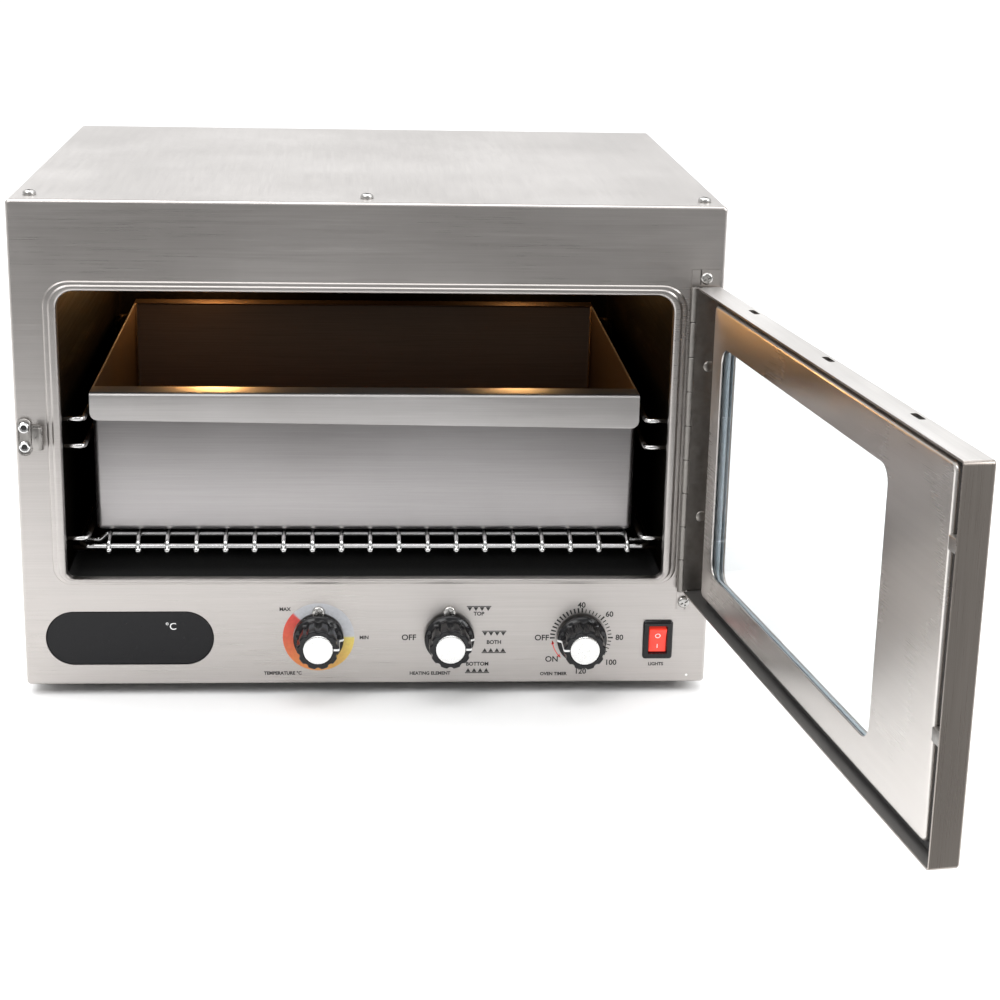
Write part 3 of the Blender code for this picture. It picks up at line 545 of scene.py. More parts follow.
# The black of the print, also used as painted shade in the keeper's rivet holes.
BLACK_INK_AND_SHADE = moulded("black_ink_and_painted_shade", (0.01, 0.01, 0.01), 0.45, 900.0, 0.05)
WHITE_INK = moulded("white_ink", (0.85, 0.85, 0.84), 0.4, 900.0, 0.05)
GLASS = clear_glass("door_glass", (0.975, 0.99, 0.995))
DISPLAY_GLASS = moulded("display_glass", (0.004, 0.004, 0.005), 0.08, 700.0, 0.01, gloss=0.25)
LAMP = glowing("lamp_glass", (1.0, 0.66, 0.3), 9.0)
RED = glowing("red_plastic", (0.86, 0.05, 0.03), 0.55, 0.22)
KEEP = {
    "rear_cover": STEEL, "base_plate": STEEL_DARK, "insulation_blanket": WOOL, "heat_shield": STEEL_DARK,
    "heating_element_upper": SHEATH, "heating_element_lower": SHEATH, "temperature_probe": BRIGHT,
    "thermostat_body": RESIN, "selector_body": RESIN, "timer_body": RESIN, "display_module": BLACK,
    "temperature_shaft": BRIGHT, "element_shaft": BRIGHT, "timer_shaft": BRIGHT, "hinge_pin": BRIGHT,
    "door_inner_glass": GLASS, "door_outer_glass": GLASS, "door_glass_spacer": GLAZING,
}
for node, material in KEEP.items():
    slots = frame["nodes"][node].data.materials
    slots.clear()
    slots.append(material)

# ---------------------------------------------------------------- cabinet


def screw(name, body, at, way, radius, height, nodes):
    """A pan-head cross screw standing on a face, its head towards way."""
    profile = [(radius * 0.45, -3.0), (radius * 0.45, 0.0), (radius * 0.94, 0.0), (radius, height * 0.12)]
    profile += arc(radius * 0.56, height * 0.3, radius * 0.44, height * 0.7, 15, 90, 5)
    profile.append((radius * 0.2, height * 1.01))
    turn = UP.rotation_difference(Vector(way)).to_matrix().to_4x4()
    matrix = Matrix.Translation(Vector(at)) @ turn @ Matrix.Rotation(math.radians(24), 4, "Z")
    item = mesh_object(name, [turned("Z", (0, 0), profile, 32)], BRIGHT, matrix)
    long, wide = radius * 0.62, radius * 0.13
    points, faces = block(-long, long, -wide, wide, height * 0.35, height * 2)
    for angle in (0, 90):
        spin = Matrix.Rotation(math.radians(angle), 4, "Z")
        carve(item, [([tuple(spin @ Vector(p)) for p in points], faces)], matrix=matrix)
    finish_piece(item, body, nodes, 30.0)


def roof_bores():
    """Cutters for the three roof screws."""
    return [prism("Z", circle((x, ROOF_SCREW_Y), 2.3, 24), HIGH - 8, HIGH + 5) for _, x in ROOF_SCREWS]


def make_front_panel():
    flange = (LEFT + 1.4, RIGHT - 1.4, 5.4, HIGH - 1.4)
    face = (LEFT, RIGHT, LOW, HIGH)
    edge = rounded(OPENING, OPENING_CORNER, lower=OPENING_LOWER)
    behind = rounded(grown(OPENING, 0.8), OPENING_CORNER + 0.8, lower=OPENING_LOWER + 0.8)
    rings = folded(face, 1.6, 2.2, 0.5, 6, lambda depth: FRONT + depth)
    rings += stack(face, [(0.0, 2.2, FRONT + 2.4)])
    rings += stack(flange, [
        (0.0, 1.5, FRONT + 2.4), (0.0, 1.5, PANEL[3]), (-0.8, 1.0, PANEL[3]), (-0.8, 1.0, FRONT + SHEET),
    ])
    rings += [(behind, FRONT + SHEET), (behind, FRONT + 3.8), (edge, FRONT + 3.8), (edge, FRONT - 0.2)]
    bead = (
        (0.03, 0.6), (0.07, 1.05), (0.13, 1.32), (0.2, 1.42), (0.44, 1.45), (0.5, 1.38), (0.54, 1.18),
        (0.58, 0.9), (0.62, 0.76), (0.67, 0.72), (0.86, 0.68), (0.92, 0.55), (0.97, 0.2), (1.0, 0.0),
    )
    for part, rise in bead:
        corner, lower = OPENING_CORNER + 4.0 * part, OPENING_LOWER + 5.0 * part
        rings.append((rounded(blended(OPENING, BEAD, part), corner, lower=lower), FRONT - rise))
    item = mesh_object("front_panel_sheet", [loft("Y", rings, closed=True)], STEEL)
    outlines = [rounded((-169.2, -81.6, 14.2, 44.0), 14.9, 16)]
    for name in ("temperature_turn", "element_turn", "timer_turn"):
        x, _, z = joint_at(name)
        outlines.append(circle((x, z), 5.2))
    outlines.append(rounded((147.8, 160.1, 18.6, 36.6), 0.5))
    carve(item, [prism("Y", outline, FRONT - 5, FRONT + 5) for outline in outlines] + roof_bores())
    finish_piece(item, "cabinet", ["front_panel"])


def make_wrap():
    """The roof and both sides in one bent sheet, with its lower lips turned in, and the roof screws."""
    bend = 2.4
    lip = 168.0
    outer = []
    inner = []
    for u, start in ((RIGHT - bend, 0), (-RIGHT + bend, 90)):
        outer += arc(u, HIGH - bend, bend, bend, start, start + 90, 8)
        inner += arc(u, HIGH - bend, bend - SHEET, bend - SHEET, start, start + 90, 8)
    outline = [(lip, LOW), (RIGHT - 0.8, LOW), (RIGHT, LOW + 0.8)] + outer
    outline += [(-RIGHT, LOW + 0.8), (-RIGHT + 0.8, LOW), (-lip, LOW), (-lip, LOW + SHEET)]
    outline += [(-RIGHT + SHEET, LOW + SHEET)] + inner[::-1]
    outline += [(RIGHT - SHEET, LOW + SHEET), (lip, LOW + SHEET)]
    item = mesh_object("outer_wrap_sheet", [prism("Y", outline, FRONT + 2.7, BACK)], STEEL_ROOF_LIT)
    carve(item, roof_bores())
    finish_piece(item, "cabinet", ["outer_wrap"])
    for name, x in ROOF_SCREWS:
        node = "roof_screw_" + name
        screw(node + "_head", "cabinet", (x, ROOF_SCREW_Y, HIGH + 0.1), UP, 3.4, 2.3, [node])


def make_feet():
    for name in ("front_left", "front_right", "rear_left", "rear_right"):
        node = "foot_" + name
        x0, x1, y0, y1, z0, z1 = box(node)
        centre = ((x0 + x1) / 2, (y0 + y1) / 2)
        profile = [
            (3.0, z0 + 2.5), (3.2, z0 + 0.8), (4.4, z0 + 0.05), (7.4, z0), (8.4, z0 + 0.5), (8.9, z0 + 1.4),
            (9.5, z1 - 1.2), (9.9, z1 - 0.4), (9.6, z1),
        ]
        piece(node + "_pad", [turned("Z", centre, profile)], RUBBER, "cabinet", [node])
    x0, x1, y0, y1, z0, z1 = box("power_inlet")
    centre = ((x0 + x1) / 2, (z0 + z1) / 2)
    profile = [
        (3.3, BACK - 6.0), (3.3, BACK + 3.6), (3.9, y1), (5.6, y1), (6.2, BACK + 3.2), (7.4, BACK + 2.0),
        (9.1, BACK + 1.6), (9.4, BACK + 1.2), (9.4, BACK + 0.35), (6.8, BACK + 0.3), (6.8, BACK - 9.0),
        (3.3, BACK - 9.0),
    ]
    gland = [turned("Y", centre, profile, 40, True)]
    piece("power_gland", gland, RUBBER, "cabinet", ["power_inlet"])


def make_cavity():
    """The liner, open at the front and black inside, a dark finish made darker still as painted shade, and the
    two lamps in its rear wall.
    """
    liner = (-157.4, 155.1, 60.0, 216.0)
    flange = rounded((-165.0, 162.0, 52.6, 223.4), 6.0)
    back = 124.0
    near = -146.8
    outside = rounded(grown(liner, 0.8), OPENING_CORNER + 0.8, lower=OPENING_LOWER + 0.8)
    inside = rounded(liner, OPENING_CORNER, lower=OPENING_LOWER)
    rings = [
        (rounded(grown(liner, -3.0), 7.0, lower=2.5), back),
        (rounded(grown(liner, -1.0), 8.0, lower=3.7), back - 0.8),
        (inside, back - 3.0), (inside, near), (flange, near), (flange, near + 0.8), (outside, near + 0.8),
        (outside, back + 0.8),
    ]
    item = mesh_object("liner_shell", [loft("Y", rings)], LINER_DARK_AND_SHADED)
    # The floor faces take the floor's near black, likewise partly painted shade.
    item.data.materials.append(LINER_FLOOR_DARK_AND_SHADED)
    for face in item.data.polygons:
        if face.normal.z > 0.3 and face.center.z < 66.0 * MM:
            face.material_index = 1
    lamps = []
    for node in ("oven_lamp_left", "oven_lamp_right"):
        x0, x1, _, _, z0, z1 = box(node)
        lamps.append((node, ((x0 + x1) / 2, (z0 + z1) / 2)))
    carve(item, [prism("Y", circle(centre, 14.0), back - 3, back + 4) for _, centre in lamps])
    finish_piece(item, "cabinet", ["cavity_liner"])
    for node, centre in lamps:
        dome = [(13.4, back + 2.0)] + arc(0.4, back - 1.4, 12.6, -4.4, 0, 90, 8)
        piece(node + "_dome", [turned("Y", centre, dome)], LAMP, "cabinet", [node])
        ring = ((13.1, 0.3), (13.1, 1.8), (13.8, 2.2), (15.8, 2.0), (16.8, 1.0), (16.8, 0.3))
        ring = [(radius, back - out) for radius, out in ring]
        piece(node + "_ring", [turned("Y", centre, ring, 40, True)], BRIGHT, "cabinet")
    return lamps


# ---------------------------------------------------------------- racks, shelf and pan


def make_racks():
    thick = 1.35
    for name, side in (("left", -1), ("right", 1)):
        node = "side_rack_" + name
        inner = CENTRE_X + side * 146.0
        wall = CENTRE_X + side * 154.4
        shells = []
        for z, front in ((145.0, -139.0), (130.6, -139.0), (80.5, -139.0), (69.5, -121.0)):
            end = CENTRE_X + side * 155.95
            path = [(end, front, z), (inner, front, z), (inner, 117.0, z), (wall, 117.0, z), (wall, 90.0, z)]
            shells.append(wire(filleted(path, 3.4), thick))
        for y in (93.0, 108.0):
            shells.append(wire([(wall, y, 68.0), (wall, y, 146.5)], thick))
        piece(node + "_wires", shells, RACK_WIRE, "cabinet", [node], sharp=60)


def make_shelf():
    """A rim, two stepped bearers, and cross wires that turn down at the front and end in a ball."""
    side = 151.5
    level = 75.0
    over = 78.05
    first, last, count = -137.1, 138.1, 19
    rim = [
        (-side, 111.0, level), (-side, -126.5, level), (-side + 3.5, -131.0, 73.4),
        (side - 3.5, -131.0, 73.4), (side, -126.5, level), (side, 111.0, level),
    ]
    rim = [(CENTRE_X + x, y, z) for x, y, z in rim]
    shells = [wire(filleted(rim, 3.0, closed=True), 1.5, closed=True)]
    for i in range(count):
        x = first + i * (last - first) / (count - 1)
        path = [(x, 112.3, 75.8), (x, 110.0, over), (x, -129.0, over), (x, -133.4, 76.2), (x, -133.7, 72.4)]
        shells.append(wire(filleted(path, 2.2, 5), 1.2, 12))
        shells.append(turned("Z", (x, -133.7), arc(0.0, 72.0, 1.75, 1.75, -80, 80, 8), 16))
    for y in (-117.0, 86.0):
        step = [(-side, 72.8), (-142.0, 72.8), (-138.5, 76.1), (138.5, 76.1), (142.0, 72.8), (side, 72.8)]
        shells.append(wire(filleted([(CENTRE_X + x, y, z) for x, z in step], 2.5), 1.5))
    piece("shelf_wires", shells, CHROME, "shelf", ["wire_shelf"], sharp=60)


def lip_outline(edge, wall, way, top, drop):
    """A pan lip seen from the side: out from the wall, over a bend and down. Way is -1 at the front."""
    bend, thick = 2.2, 1.0
    centre = (edge - way * bend, top - bend)
    inside = bend - thick
    line = [(wall, top)] + arc(*centre, way * bend, bend, 90, 0, 6)
    line += [(edge, top - drop + 0.5), (edge - way * 0.15, top - drop), (edge - way * 0.85, top - drop)]
    line += [(edge - way, top - drop + 0.5)] + arc(*centre, way * inside, inside, 0, 90, 6)
    return line + [(wall, top - thick)]


def make_pan():
    """A deep pan with turned-down lips front and rear. The front one's lower edge is a little askew."""
    x0, x1, _, _, floor, top = box("roasting_pan")
    front, rear = -122.5, 95.5
    drop = 18.0
    outer = (x0, x1, front, rear)
    rings = stack(outer, [
        (-3.0, 3.2, floor), (-1.2, 3.2, floor + 0.35), (-0.35, 3.2, floor + 1.2), (0.0, 3.2, floor + 3.0),
        (0.0, 2.6, top - 0.7), (-0.25, 2.3, top - 0.15), (-0.75, 1.9, top - 0.15), (-1.0, 1.6, top - 0.7),
        (-1.0, 3.0, floor + 4.0), (-1.4, 3.0, floor + 2.2), (-2.4, 3.0, floor + 1.25),
        (-4.0, 3.0, floor + 1.0),
    ], 5)
    item = mesh_object("roasting_pan_body", [loft("Z", rings)], PAN_METAL)
    item.data.materials.append(PAN_SHADED)
    # Faces inside the pan, above its floor, take the painted shade.
    inside = [edge * MM for edge in grown(outer, -0.9)]
    for face in item.data.polygons:
        across = inside[0] < face.center.x < inside[1] and inside[2] < face.center.y < inside[3]
        if across and face.center.z > (floor + 0.9) * MM:
            face.material_index = 1
    # The front lip takes the lighter copy, painted light, and the rear lip the copy painted with shade.
    lips = (
        (lip_outline(-136.0, front + 1.0, -1, top, drop), PAN_LIP_LIT, 3.4, -400.0, -120.0),
        (lip_outline(109.0, rear - 1.0, 1, top, drop), PAN_SHADED, 0.0, 93.0, 400.0),
    )
    for index, (outline, metal, skew, low, high) in enumerate(lips):
        lip = mesh_object("roasting_pan_lip_%d" % index, [prism("X", outline, x0 + 0.3, x1 - 0.3)], metal)
        profile = []
        for u, v in rounded((x0 + 0.3, x1 - 0.3, top - drop, top + 30.0), 4.0, 6):
            profile.append((u, v + skew * (x1 - u) / (x1 - x0) if v < top - 10 else v))
        carve(lip, [prism("Y", profile, low, high)], "INTERSECT")
        finish_piece(lip, "pan")
    finish_piece(item, "pan", ["roasting_pan"])


# ---------------------------------------------------------------- controls


def scalloped(centre, radius, depth, lobe, waves=10, sides=120):
    """A circle with flutes cut in it, and a lobe between two flutes at the angle lobe."""
    outline = []
    for i in range(sides):
        angle = lobe + 2 * math.pi * i / sides
        dip = max(0.0, -math.cos(waves * (angle - lobe))) ** 0.8
        reach = radius - depth * dip
        outline.append((centre[0] + reach * math.cos(angle), centre[1] + reach * math.sin(angle)))
    return outline


def make_knob(name, pointing):
    """A fluted knob on a wide skirt, with a spun cap and a pointer line."""
    x, near, z = joint_at(name + "_turn")
    body = name + "_knob"
    centre = (x, z)
    face = near - 17.0
    stages = [
        (12.6, 0.0, near), (13.1, 0.0, near - 0.15), (13.25, 0.0, near - 0.6), (13.25, 0.0, near - 1.5),
        (13.0, 0.0, near - 2.1), (12.4, 0.1, near - 2.7), (11.7, 0.4, near - 3.1), (11.25, 0.8, near - 3.6),
        (11.1, 1.05, near - 4.6), (11.1, 1.05, near - 10.0), (11.1, 1.05, face + 1.3),
        (10.95, 1.0, face + 0.6), (10.6, 0.85, face + 0.15), (10.0, 0.5, face), (8.1, 0.0, face),
        (8.0, 0.0, face + 1.1), (1.0, 0.0, face + 1.1),
    ]
    lobe = -math.radians(pointing)
    rings = [(scalloped(centre, radius, depth, lobe), level) for radius, depth, level in stages]
    item = mesh_object(name + "_knob_moulding", [loft("Y", rings)], BLACK)
    finish_piece(item, body, [name + "_knob"], 50.0)
    crown = face - 0.42
    cap = [(7.8, face + 1.0), (7.85, face + 0.1), (7.6, face - 0.25), (7.1, crown)]
    for step in range(1, 9):
        radius = 7.1 * (1 - step / 8.5)
        cap.append((radius, crown + 0.1 * (step % 2) * (radius > 1)))
    disc = [turned("Y", centre, cap, 64)]
    piece(name + "_cap_disc", disc, CAP, body, [name + "_knob_cap"])
    line = [Vector((radius, level - near)) for radius, _, level in stages[2:15]]
    strip = beside(line, 0.09) + line[::-1]
    spin = Matrix.Translation((x, near, z)) @ Matrix.Rotation(math.radians(pointing), 4, "Y")
    pointer = [prism("Z", strip, -0.55, 0.55)]
    piece(name + "_pointer", pointer, WHITE_INK, body, matrix=spin)


def text_shell(words, size, centre, level, bold=0.0):
    """Flat letters standing on the panel, as points and faces."""
    curve = bpy.data.curves.new("letters", "FONT")
    curve.body = words
    curve.size = size
    curve.align_x = "CENTER"
    curve.align_y = "CENTER"
    curve.extrude = INK_RISE
    curve.offset = bold
    curve.resolution_u = 4
    item = linked("letters", curve)
    graph = bpy.context.evaluated_depsgraph_get()
    mesh = bpy.data.meshes.new_from_object(item.evaluated_get(graph))
    points = [(centre[0] + v.co.x, level - v.co.z, centre[1] + v.co.y) for v in mesh.vertices]
    faces = [tuple(p.vertices) for p in mesh.polygons]
    bpy.data.objects.remove(item)
    bpy.data.meshes.remove(mesh)
    bpy.data.curves.remove(curve)
    return points, faces


def arc_band(centre, low, high, start, end, level, steps=24):
    """A flat curved band, angles in degrees clockwise from twelve o'clock."""
    outline = arc(*centre, high, high, 90 - start, 90 - end, steps)
    outline += arc(*centre, low, low, 90 - end, 90 - start, steps)
    points = [(u, level, v) for u, v in outline] + [(u, level + INK_RISE, v) for u, v in outline]
    count = len(outline)
    faces = []
    for i in range(steps):
        j = count - 1 - i
        faces.append((i, i + 1, j - 1, j))
        faces.append((count + i, count + j, count + j - 1, count + i + 1))
    for i in range(count):
        k = (i + 1) % count
        faces.append((i, k, count + k, count + i))
    return points, faces


def triangles(centre, down, level):
    """A bar with a row of teeth under or over it."""
    count, width, height = 4, 13.0, 2.6
    x, z = centre
    sign = -1 if down else 1
    shells = [block(x - width / 2, x + width / 2, level, level + INK_RISE, z - 0.25, z + 0.25)]
    pitch = width / count
    for i in range(count):
        u = x - width / 2 + pitch * (i + 0.5)
        foot = z + sign * 0.45
        tooth = [(u - pitch * 0.4, foot), (u + pitch * 0.4, foot), (u, z + sign * height)]
        shells.append(prism("Y", tooth, level, level + INK_RISE))
    return shells


def dial_ink(centre):
    """Print that runs from yellow at three o'clock down and round to red at half past ten, pale between."""
    finish = Finish("dial_ink", (0.6, 0.2, 0.1), 0.0, 0.45)
    moved = finish.node("ShaderNodeMapping")
    moved.inputs["Location"].default_value = (-centre[0] * MM, -centre[1] * MM, 0.0)
    moved.inputs["Rotation"].default_value = (math.radians(-90.0), 0.0, 0.0)
    finish.link(finish.place, moved.inputs["Vector"])
    turn = finish.node("ShaderNodeTexGradient", gradient_type="RADIAL")
    finish.link(moved.outputs["Vector"], turn.inputs["Vector"])
    pale = (0.56, 0.57, 0.6)
    run = finish.ramp(turn.outputs["Fac"], (
        (0.0, (0.74, 0.12, 0.06)), (0.14, (0.78, 0.24, 0.07)), (0.28, (0.8, 0.38, 0.1)),
        (0.495, (0.82, 0.66, 0.16)), (0.505, pale), (0.87, pale), (0.88, (0.7, 0.07, 0.06)),
        (1.0, (0.74, 0.12, 0.06)),
    ))
    grain = finish.noise(finish.mapped((700.0, 700.0, 700.0)), 1.0, 3.0)
    worn = finish.ramp(grain, ((0.25, (0.86, 0.86, 0.86)), (0.7, (1.0, 1.0, 1.0))))
    finish.feed("Base Color", finish.mixed(run, worn))
    finish.bump(grain, 0.05, 0.02)
    return finish.material


def make_print():
    level = FRONT - 0.05
    tx, _, tz = joint_at("temperature_turn")
    ex, _, ez = joint_at("element_turn")
    ox, _, oz = joint_at("timer_turn")
    band = arc_band((tx, tz), 13.4, 18.9, 0.0, 360.0, level, 72)
    piece("dial_band", [band], dial_ink((tx, tz)), "cabinet")
    small, caption, figure, large, bold = 2.5, 2.9, 4.2, 4.4, 0.1
    words = [
        ("MAX", 2.7, (tx - 17.6, tz + 15.6)), ("MIN", 2.7, (tx + 24.0, tz - 0.4)),
        ("OFF", large, (ex - 21.4, ez - 0.5)), ("TOP", caption, (ex + 15.6, ez + 12.8)),
        ("BOTH", caption, (ex + 23.9, ez - 3.3)), ("BOTTOM", caption, (ex + 15.2, ez - 15.6)),
        ("OFF", large, (ox - 21.2, oz)), ("ON", large, (ox - 15.6, oz - 12.2)),
        ("40", figure, (ox - 0.4, oz + 18.4)), ("60", figure, (ox + 14.6, oz + 13.2)),
        ("80", figure, (ox + 20.4, oz)), ("100", figure, (ox + 16.2, oz - 14.2)),
        ("120", figure, (ox, oz - 19.2)),
        ("TEMPERATURE °C", small, (tx - 19.0, 9.0)), ("HEATING ELEMENT", small, (ex - 10.0, 8.6)),
        ("OVEN TIMER", small, (ox - 14.5, 8.0)), ("LIGHTS", small, (153.5, 13.4)),
    ]
    shells = [text_shell(text, size, centre, level, bold) for text, size, centre in words]
    for x, z, down in ((15.6, 17.0, True), (23.9, 3.0, True), (23.9, -9.2, False), (15.2, -20.6, False)):
        shells += triangles((ex + x, ez + z), down, level)
    for i in range(37):
        angle = -90 + i * 7.5
        half, reach = (1.6, 16.9) if i % 6 == 0 or i < 13 else (1.0, 16.2)
        shells.append(arc_band((ox, oz), 14.2, reach, angle - half, angle + half, level, 2))
    piece("panel_print", shells, BLACK_INK_AND_SHADE, "cabinet", sharp=30)
    red = moulded("red_ink", (0.8, 0.03, 0.02), 0.45, 900.0, 0.05)
    start, end = 224.0, 264.0
    shells = [arc_band((ox, oz), 15.4, 15.85, start, end, level)]
    for angle, way in ((start, 1), (end, -1)):
        tip, back = math.radians(90 - angle), math.radians(90 - angle - way * 7.0)
        corners = ((15.6, tip), (14.7, back), (16.5, back))
        head = [(ox + reach * math.cos(turn), oz + reach * math.sin(turn)) for reach, turn in corners]
        shells.append(prism("Y", head, level, level + INK_RISE))
    piece("panel_print_red", shells, red, "cabinet", sharp=30)
    lens = box("display_lens")
    mark = text_shell("°C", 5.4, (-104.0, 35.4), lens[2] - 0.03)
    piece("display_print", [mark], WHITE_INK, "cabinet", sharp=30)
    dots = [prism("Y", circle(at, 0.7, 16), level, level + INK_RISE) for at in ((167.0, 45.7), (170.4, 7.1))]
    piece("panel_dots", dots, WHITE_INK, "cabinet", sharp=30)


def make_controls():
    for name, pointing in (("temperature", 0), ("element", 0), ("timer", 180)):
        make_knob(name, pointing)
    for name in ("temperature", "element"):
        at = (joint_at(name + "_turn")[0], FRONT - 0.1, 43.4)
        screw(name + "_screw_head", "cabinet", at, (0, -1, 0), 3.4, 2.0, [name + "_screw"])
    lens = (-168.9, -81.9, 14.5, 43.7)
    rings = stack(lens, [(0.0, 14.6, FRONT + 1.4), (0.0, 14.6, FRONT + 0.4), (-0.3, 14.3, FRONT + 0.1)], 16)
    shells = [loft("Y", rings)]
    piece("display_lens_glass", shells, DISPLAY_GLASS, "cabinet", ["display_lens"])


def dished(v, tall):
    """How far the rocker's face stands forward at height v of half height tall."""
    return 1.2 * (abs(v) / tall) ** 1.6


def make_switch():
    x0, x1, _, _, z0, z1 = box("light_switch_body")
    bezel = (x0, x1, z0, z1)
    rings = stack(bezel, [
        (-3.2, 0.5, FRONT + 12.0), (-3.2, 0.5, FRONT - 1.2), (-2.85, 0.7, FRONT - 1.75),
        (-1.1, 1.2, FRONT - 1.75), (-0.4, 1.5, FRONT - 1.5), (0.0, 1.6, FRONT - 0.9),
        (0.0, 1.6, FRONT - 0.25), (-2.1, 0.6, FRONT - 0.25), (-2.1, 0.6, FRONT + 20.0),
    ], 4)
    piece("light_switch_bezel", [loft("Y", rings)], BLACK, "cabinet", ["light_switch_body"])
    tilt = Matrix.Translation(joint_at("light_tip")) @ Matrix.Rotation(math.radians(10.0), 4, "X")
    tall = 6.7
    outline = []
    for step in range(13):
        v = -tall + 2 * tall * step / 12
        outline.append((-2.5 - dished(v, tall), v))
    outline += [(1.0, 6.4), (5.0, 3.0), (5.0, -3.0), (1.0, -6.4)]
    half = (x1 - x0) / 2 - 3.3
    item = mesh_object("light_rocker_button", [prism("X", outline, -half, half)], RED, tilt)
    soften(item, 0.35, 3, 30.0)
    finish_piece(item, "light_rocker", ["light_rocker"], 30.0)
    flat = [arc_band((0.0, 2.6), 1.05, 1.5, 0.0, 360.0, 0.0), block(-0.22, 0.22, 0.0, INK_RISE, -4.6, -2.4)]
    marks = [([(u, v - 2.57 - dished(w, tall), w) for u, v, w in points], faces) for points, faces in flat]
    piece("light_rocker_marks", marks, WHITE_INK, "light_rocker", matrix=tilt, sharp=30)


# ---------------------------------------------------------------- door

CLOSED = Matrix.Translation((HINGE[0], HINGE[1], 0.0))
DOOR = CLOSED @ Matrix.Rotation(math.radians(DOOR_OPEN), 4, "Z")


def door_x(a):
    return DOOR_ZERO - a


def door_y(b):
    return DOOR_RIM - b


def door_rect(a0, a1, z0, z1):
    return (door_x(a1), door_x(a0), z0, z1)


def door_points(points):
    return [(door_x(a), door_y(b)) for a, b in points]


def door_block(a0, a1, b0, b1, z0, z1):
    return block(door_x(a1), door_x(a0), door_y(b1), door_y(b0), z0, z1)


def knuckles(first):
    pitch = (DOOR_HIGH - DOOR_LOW) / 9
    spans = [(DOOR_LOW + pitch * i + 0.15, DOOR_LOW + pitch * (i + 1) - 0.15) for i in range(9)]
    return spans[first::2]


def rolled(low, high):
    """One hinge knuckle about the hinge axis."""
    profile = [(1.25, low), (2.15, low), (2.3, low + 0.2), (2.3, high - 0.2), (2.15, high), (1.25, high)]
    return turned("Z", (0, 0), profile, 28, True)


def make_fixed_hinge():
    y = HINGE[1]
    near = FRONT - 0.6
    back = FRONT - 0.04
    leaf = []
    for x0, x1, z0, z1 in ((2.7, 12.8, 44.5, 227.8), (-1.6, 3.2, 44.6, DOOR_LOW - 0.3),
                           (-1.6, 3.2, DOOR_HIGH + 0.3, 227.7)):
        leaf.append(block(x0, x1, near - y, back - y, z0, z1))
    piece("hinge_fixed_sheet", leaf, STEEL, "cabinet", ["hinge_fixed_leaf"], CLOSED, sharp=30)
    barrel = [rolled(low, high) for low, high in knuckles(0)]
    barrel += [block(-0.8, 3.2, 1.5, back - 0.02 - y, low + 0.1, high - 0.1) for low, high in knuckles(0)]
    piece("hinge_fixed_barrel", barrel, HINGE_METAL_SHADED, "cabinet", matrix=CLOSED, sharp=30)
    for name, x, z in (("upper", 170.7, 223.3), ("lower", 166.9, 49.0)):
        node = "hinge_screw_" + name
        screw(node + "_head", "cabinet", (x, near - 0.05, z), (0, -1, 0), 3.2, 1.9, [node])


def make_keeper():
    """The plate with a folded hook that the latch's bail goes over, and its two rivets."""
    face = FRONT - 0.3
    plate = (-178.9, -171.7, LATCH_Z - 10.1, LATCH_Z + 9.5)
    rings = stack(plate, [
        (0.0, 3.25, face), (0.0, 3.25, face - 1.2), (-0.3, 2.9, face - 1.5), (-0.75, 2.5, face - 1.5),
        (-1.1, 2.1, face - 0.9), (-1.6, 1.6, face - 0.8),
    ])
    line = [(-173.2, 0.5), (-167.6, 0.5), (-165.7, 2.4), (-165.7, 4.8), (-167.6, 6.5), (-170.2, 6.2)]
    line = filleted([(x, face - out, 0) for x, out in line], 1.8, 6)
    hook = beside(line, -0.5) + beside(line, 0.5)[::-1]
    shells = [loft("Y", rings), prism("Z", hook, LATCH_Z - 5.8, LATCH_Z + 5.9)]
    item = mesh_object("latch_keeper_plate", shells, KEEPER)
    soften(item, 0.18, 2, 50.0)
    finish_piece(item, "cabinet", ["latch_keeper"], 35.0)
    profile = [
        (1.2, face + 0.6), (1.2, face - 1.5), (1.5, face - 1.95), (2.2, face - 2.1), (2.8, face - 1.7),
        (3.0, face - 1.1), (3.0, face - 0.85), (1.5, face + 0.6),
    ]
    # A black cone in each rivet's hollow, in the black of the print: painted shade.
    hollow = [(1.2, face - 0.3), (1.4, face - 1.5), (0.7, face - 1.55)]
    for index, z in enumerate((LATCH_Z + 4.8, LATCH_Z - 5.3)):
        at = (-175.3, z)
        rivet = [turned("Y", at, profile, 32, True)]
        piece("keeper_rivet_%d" % index, rivet, CHROME, "cabinet")
        piece("keeper_bore_%d" % index, [turned("Y", at, hollow, 24)], BLACK_INK_AND_SHADE, "cabinet")


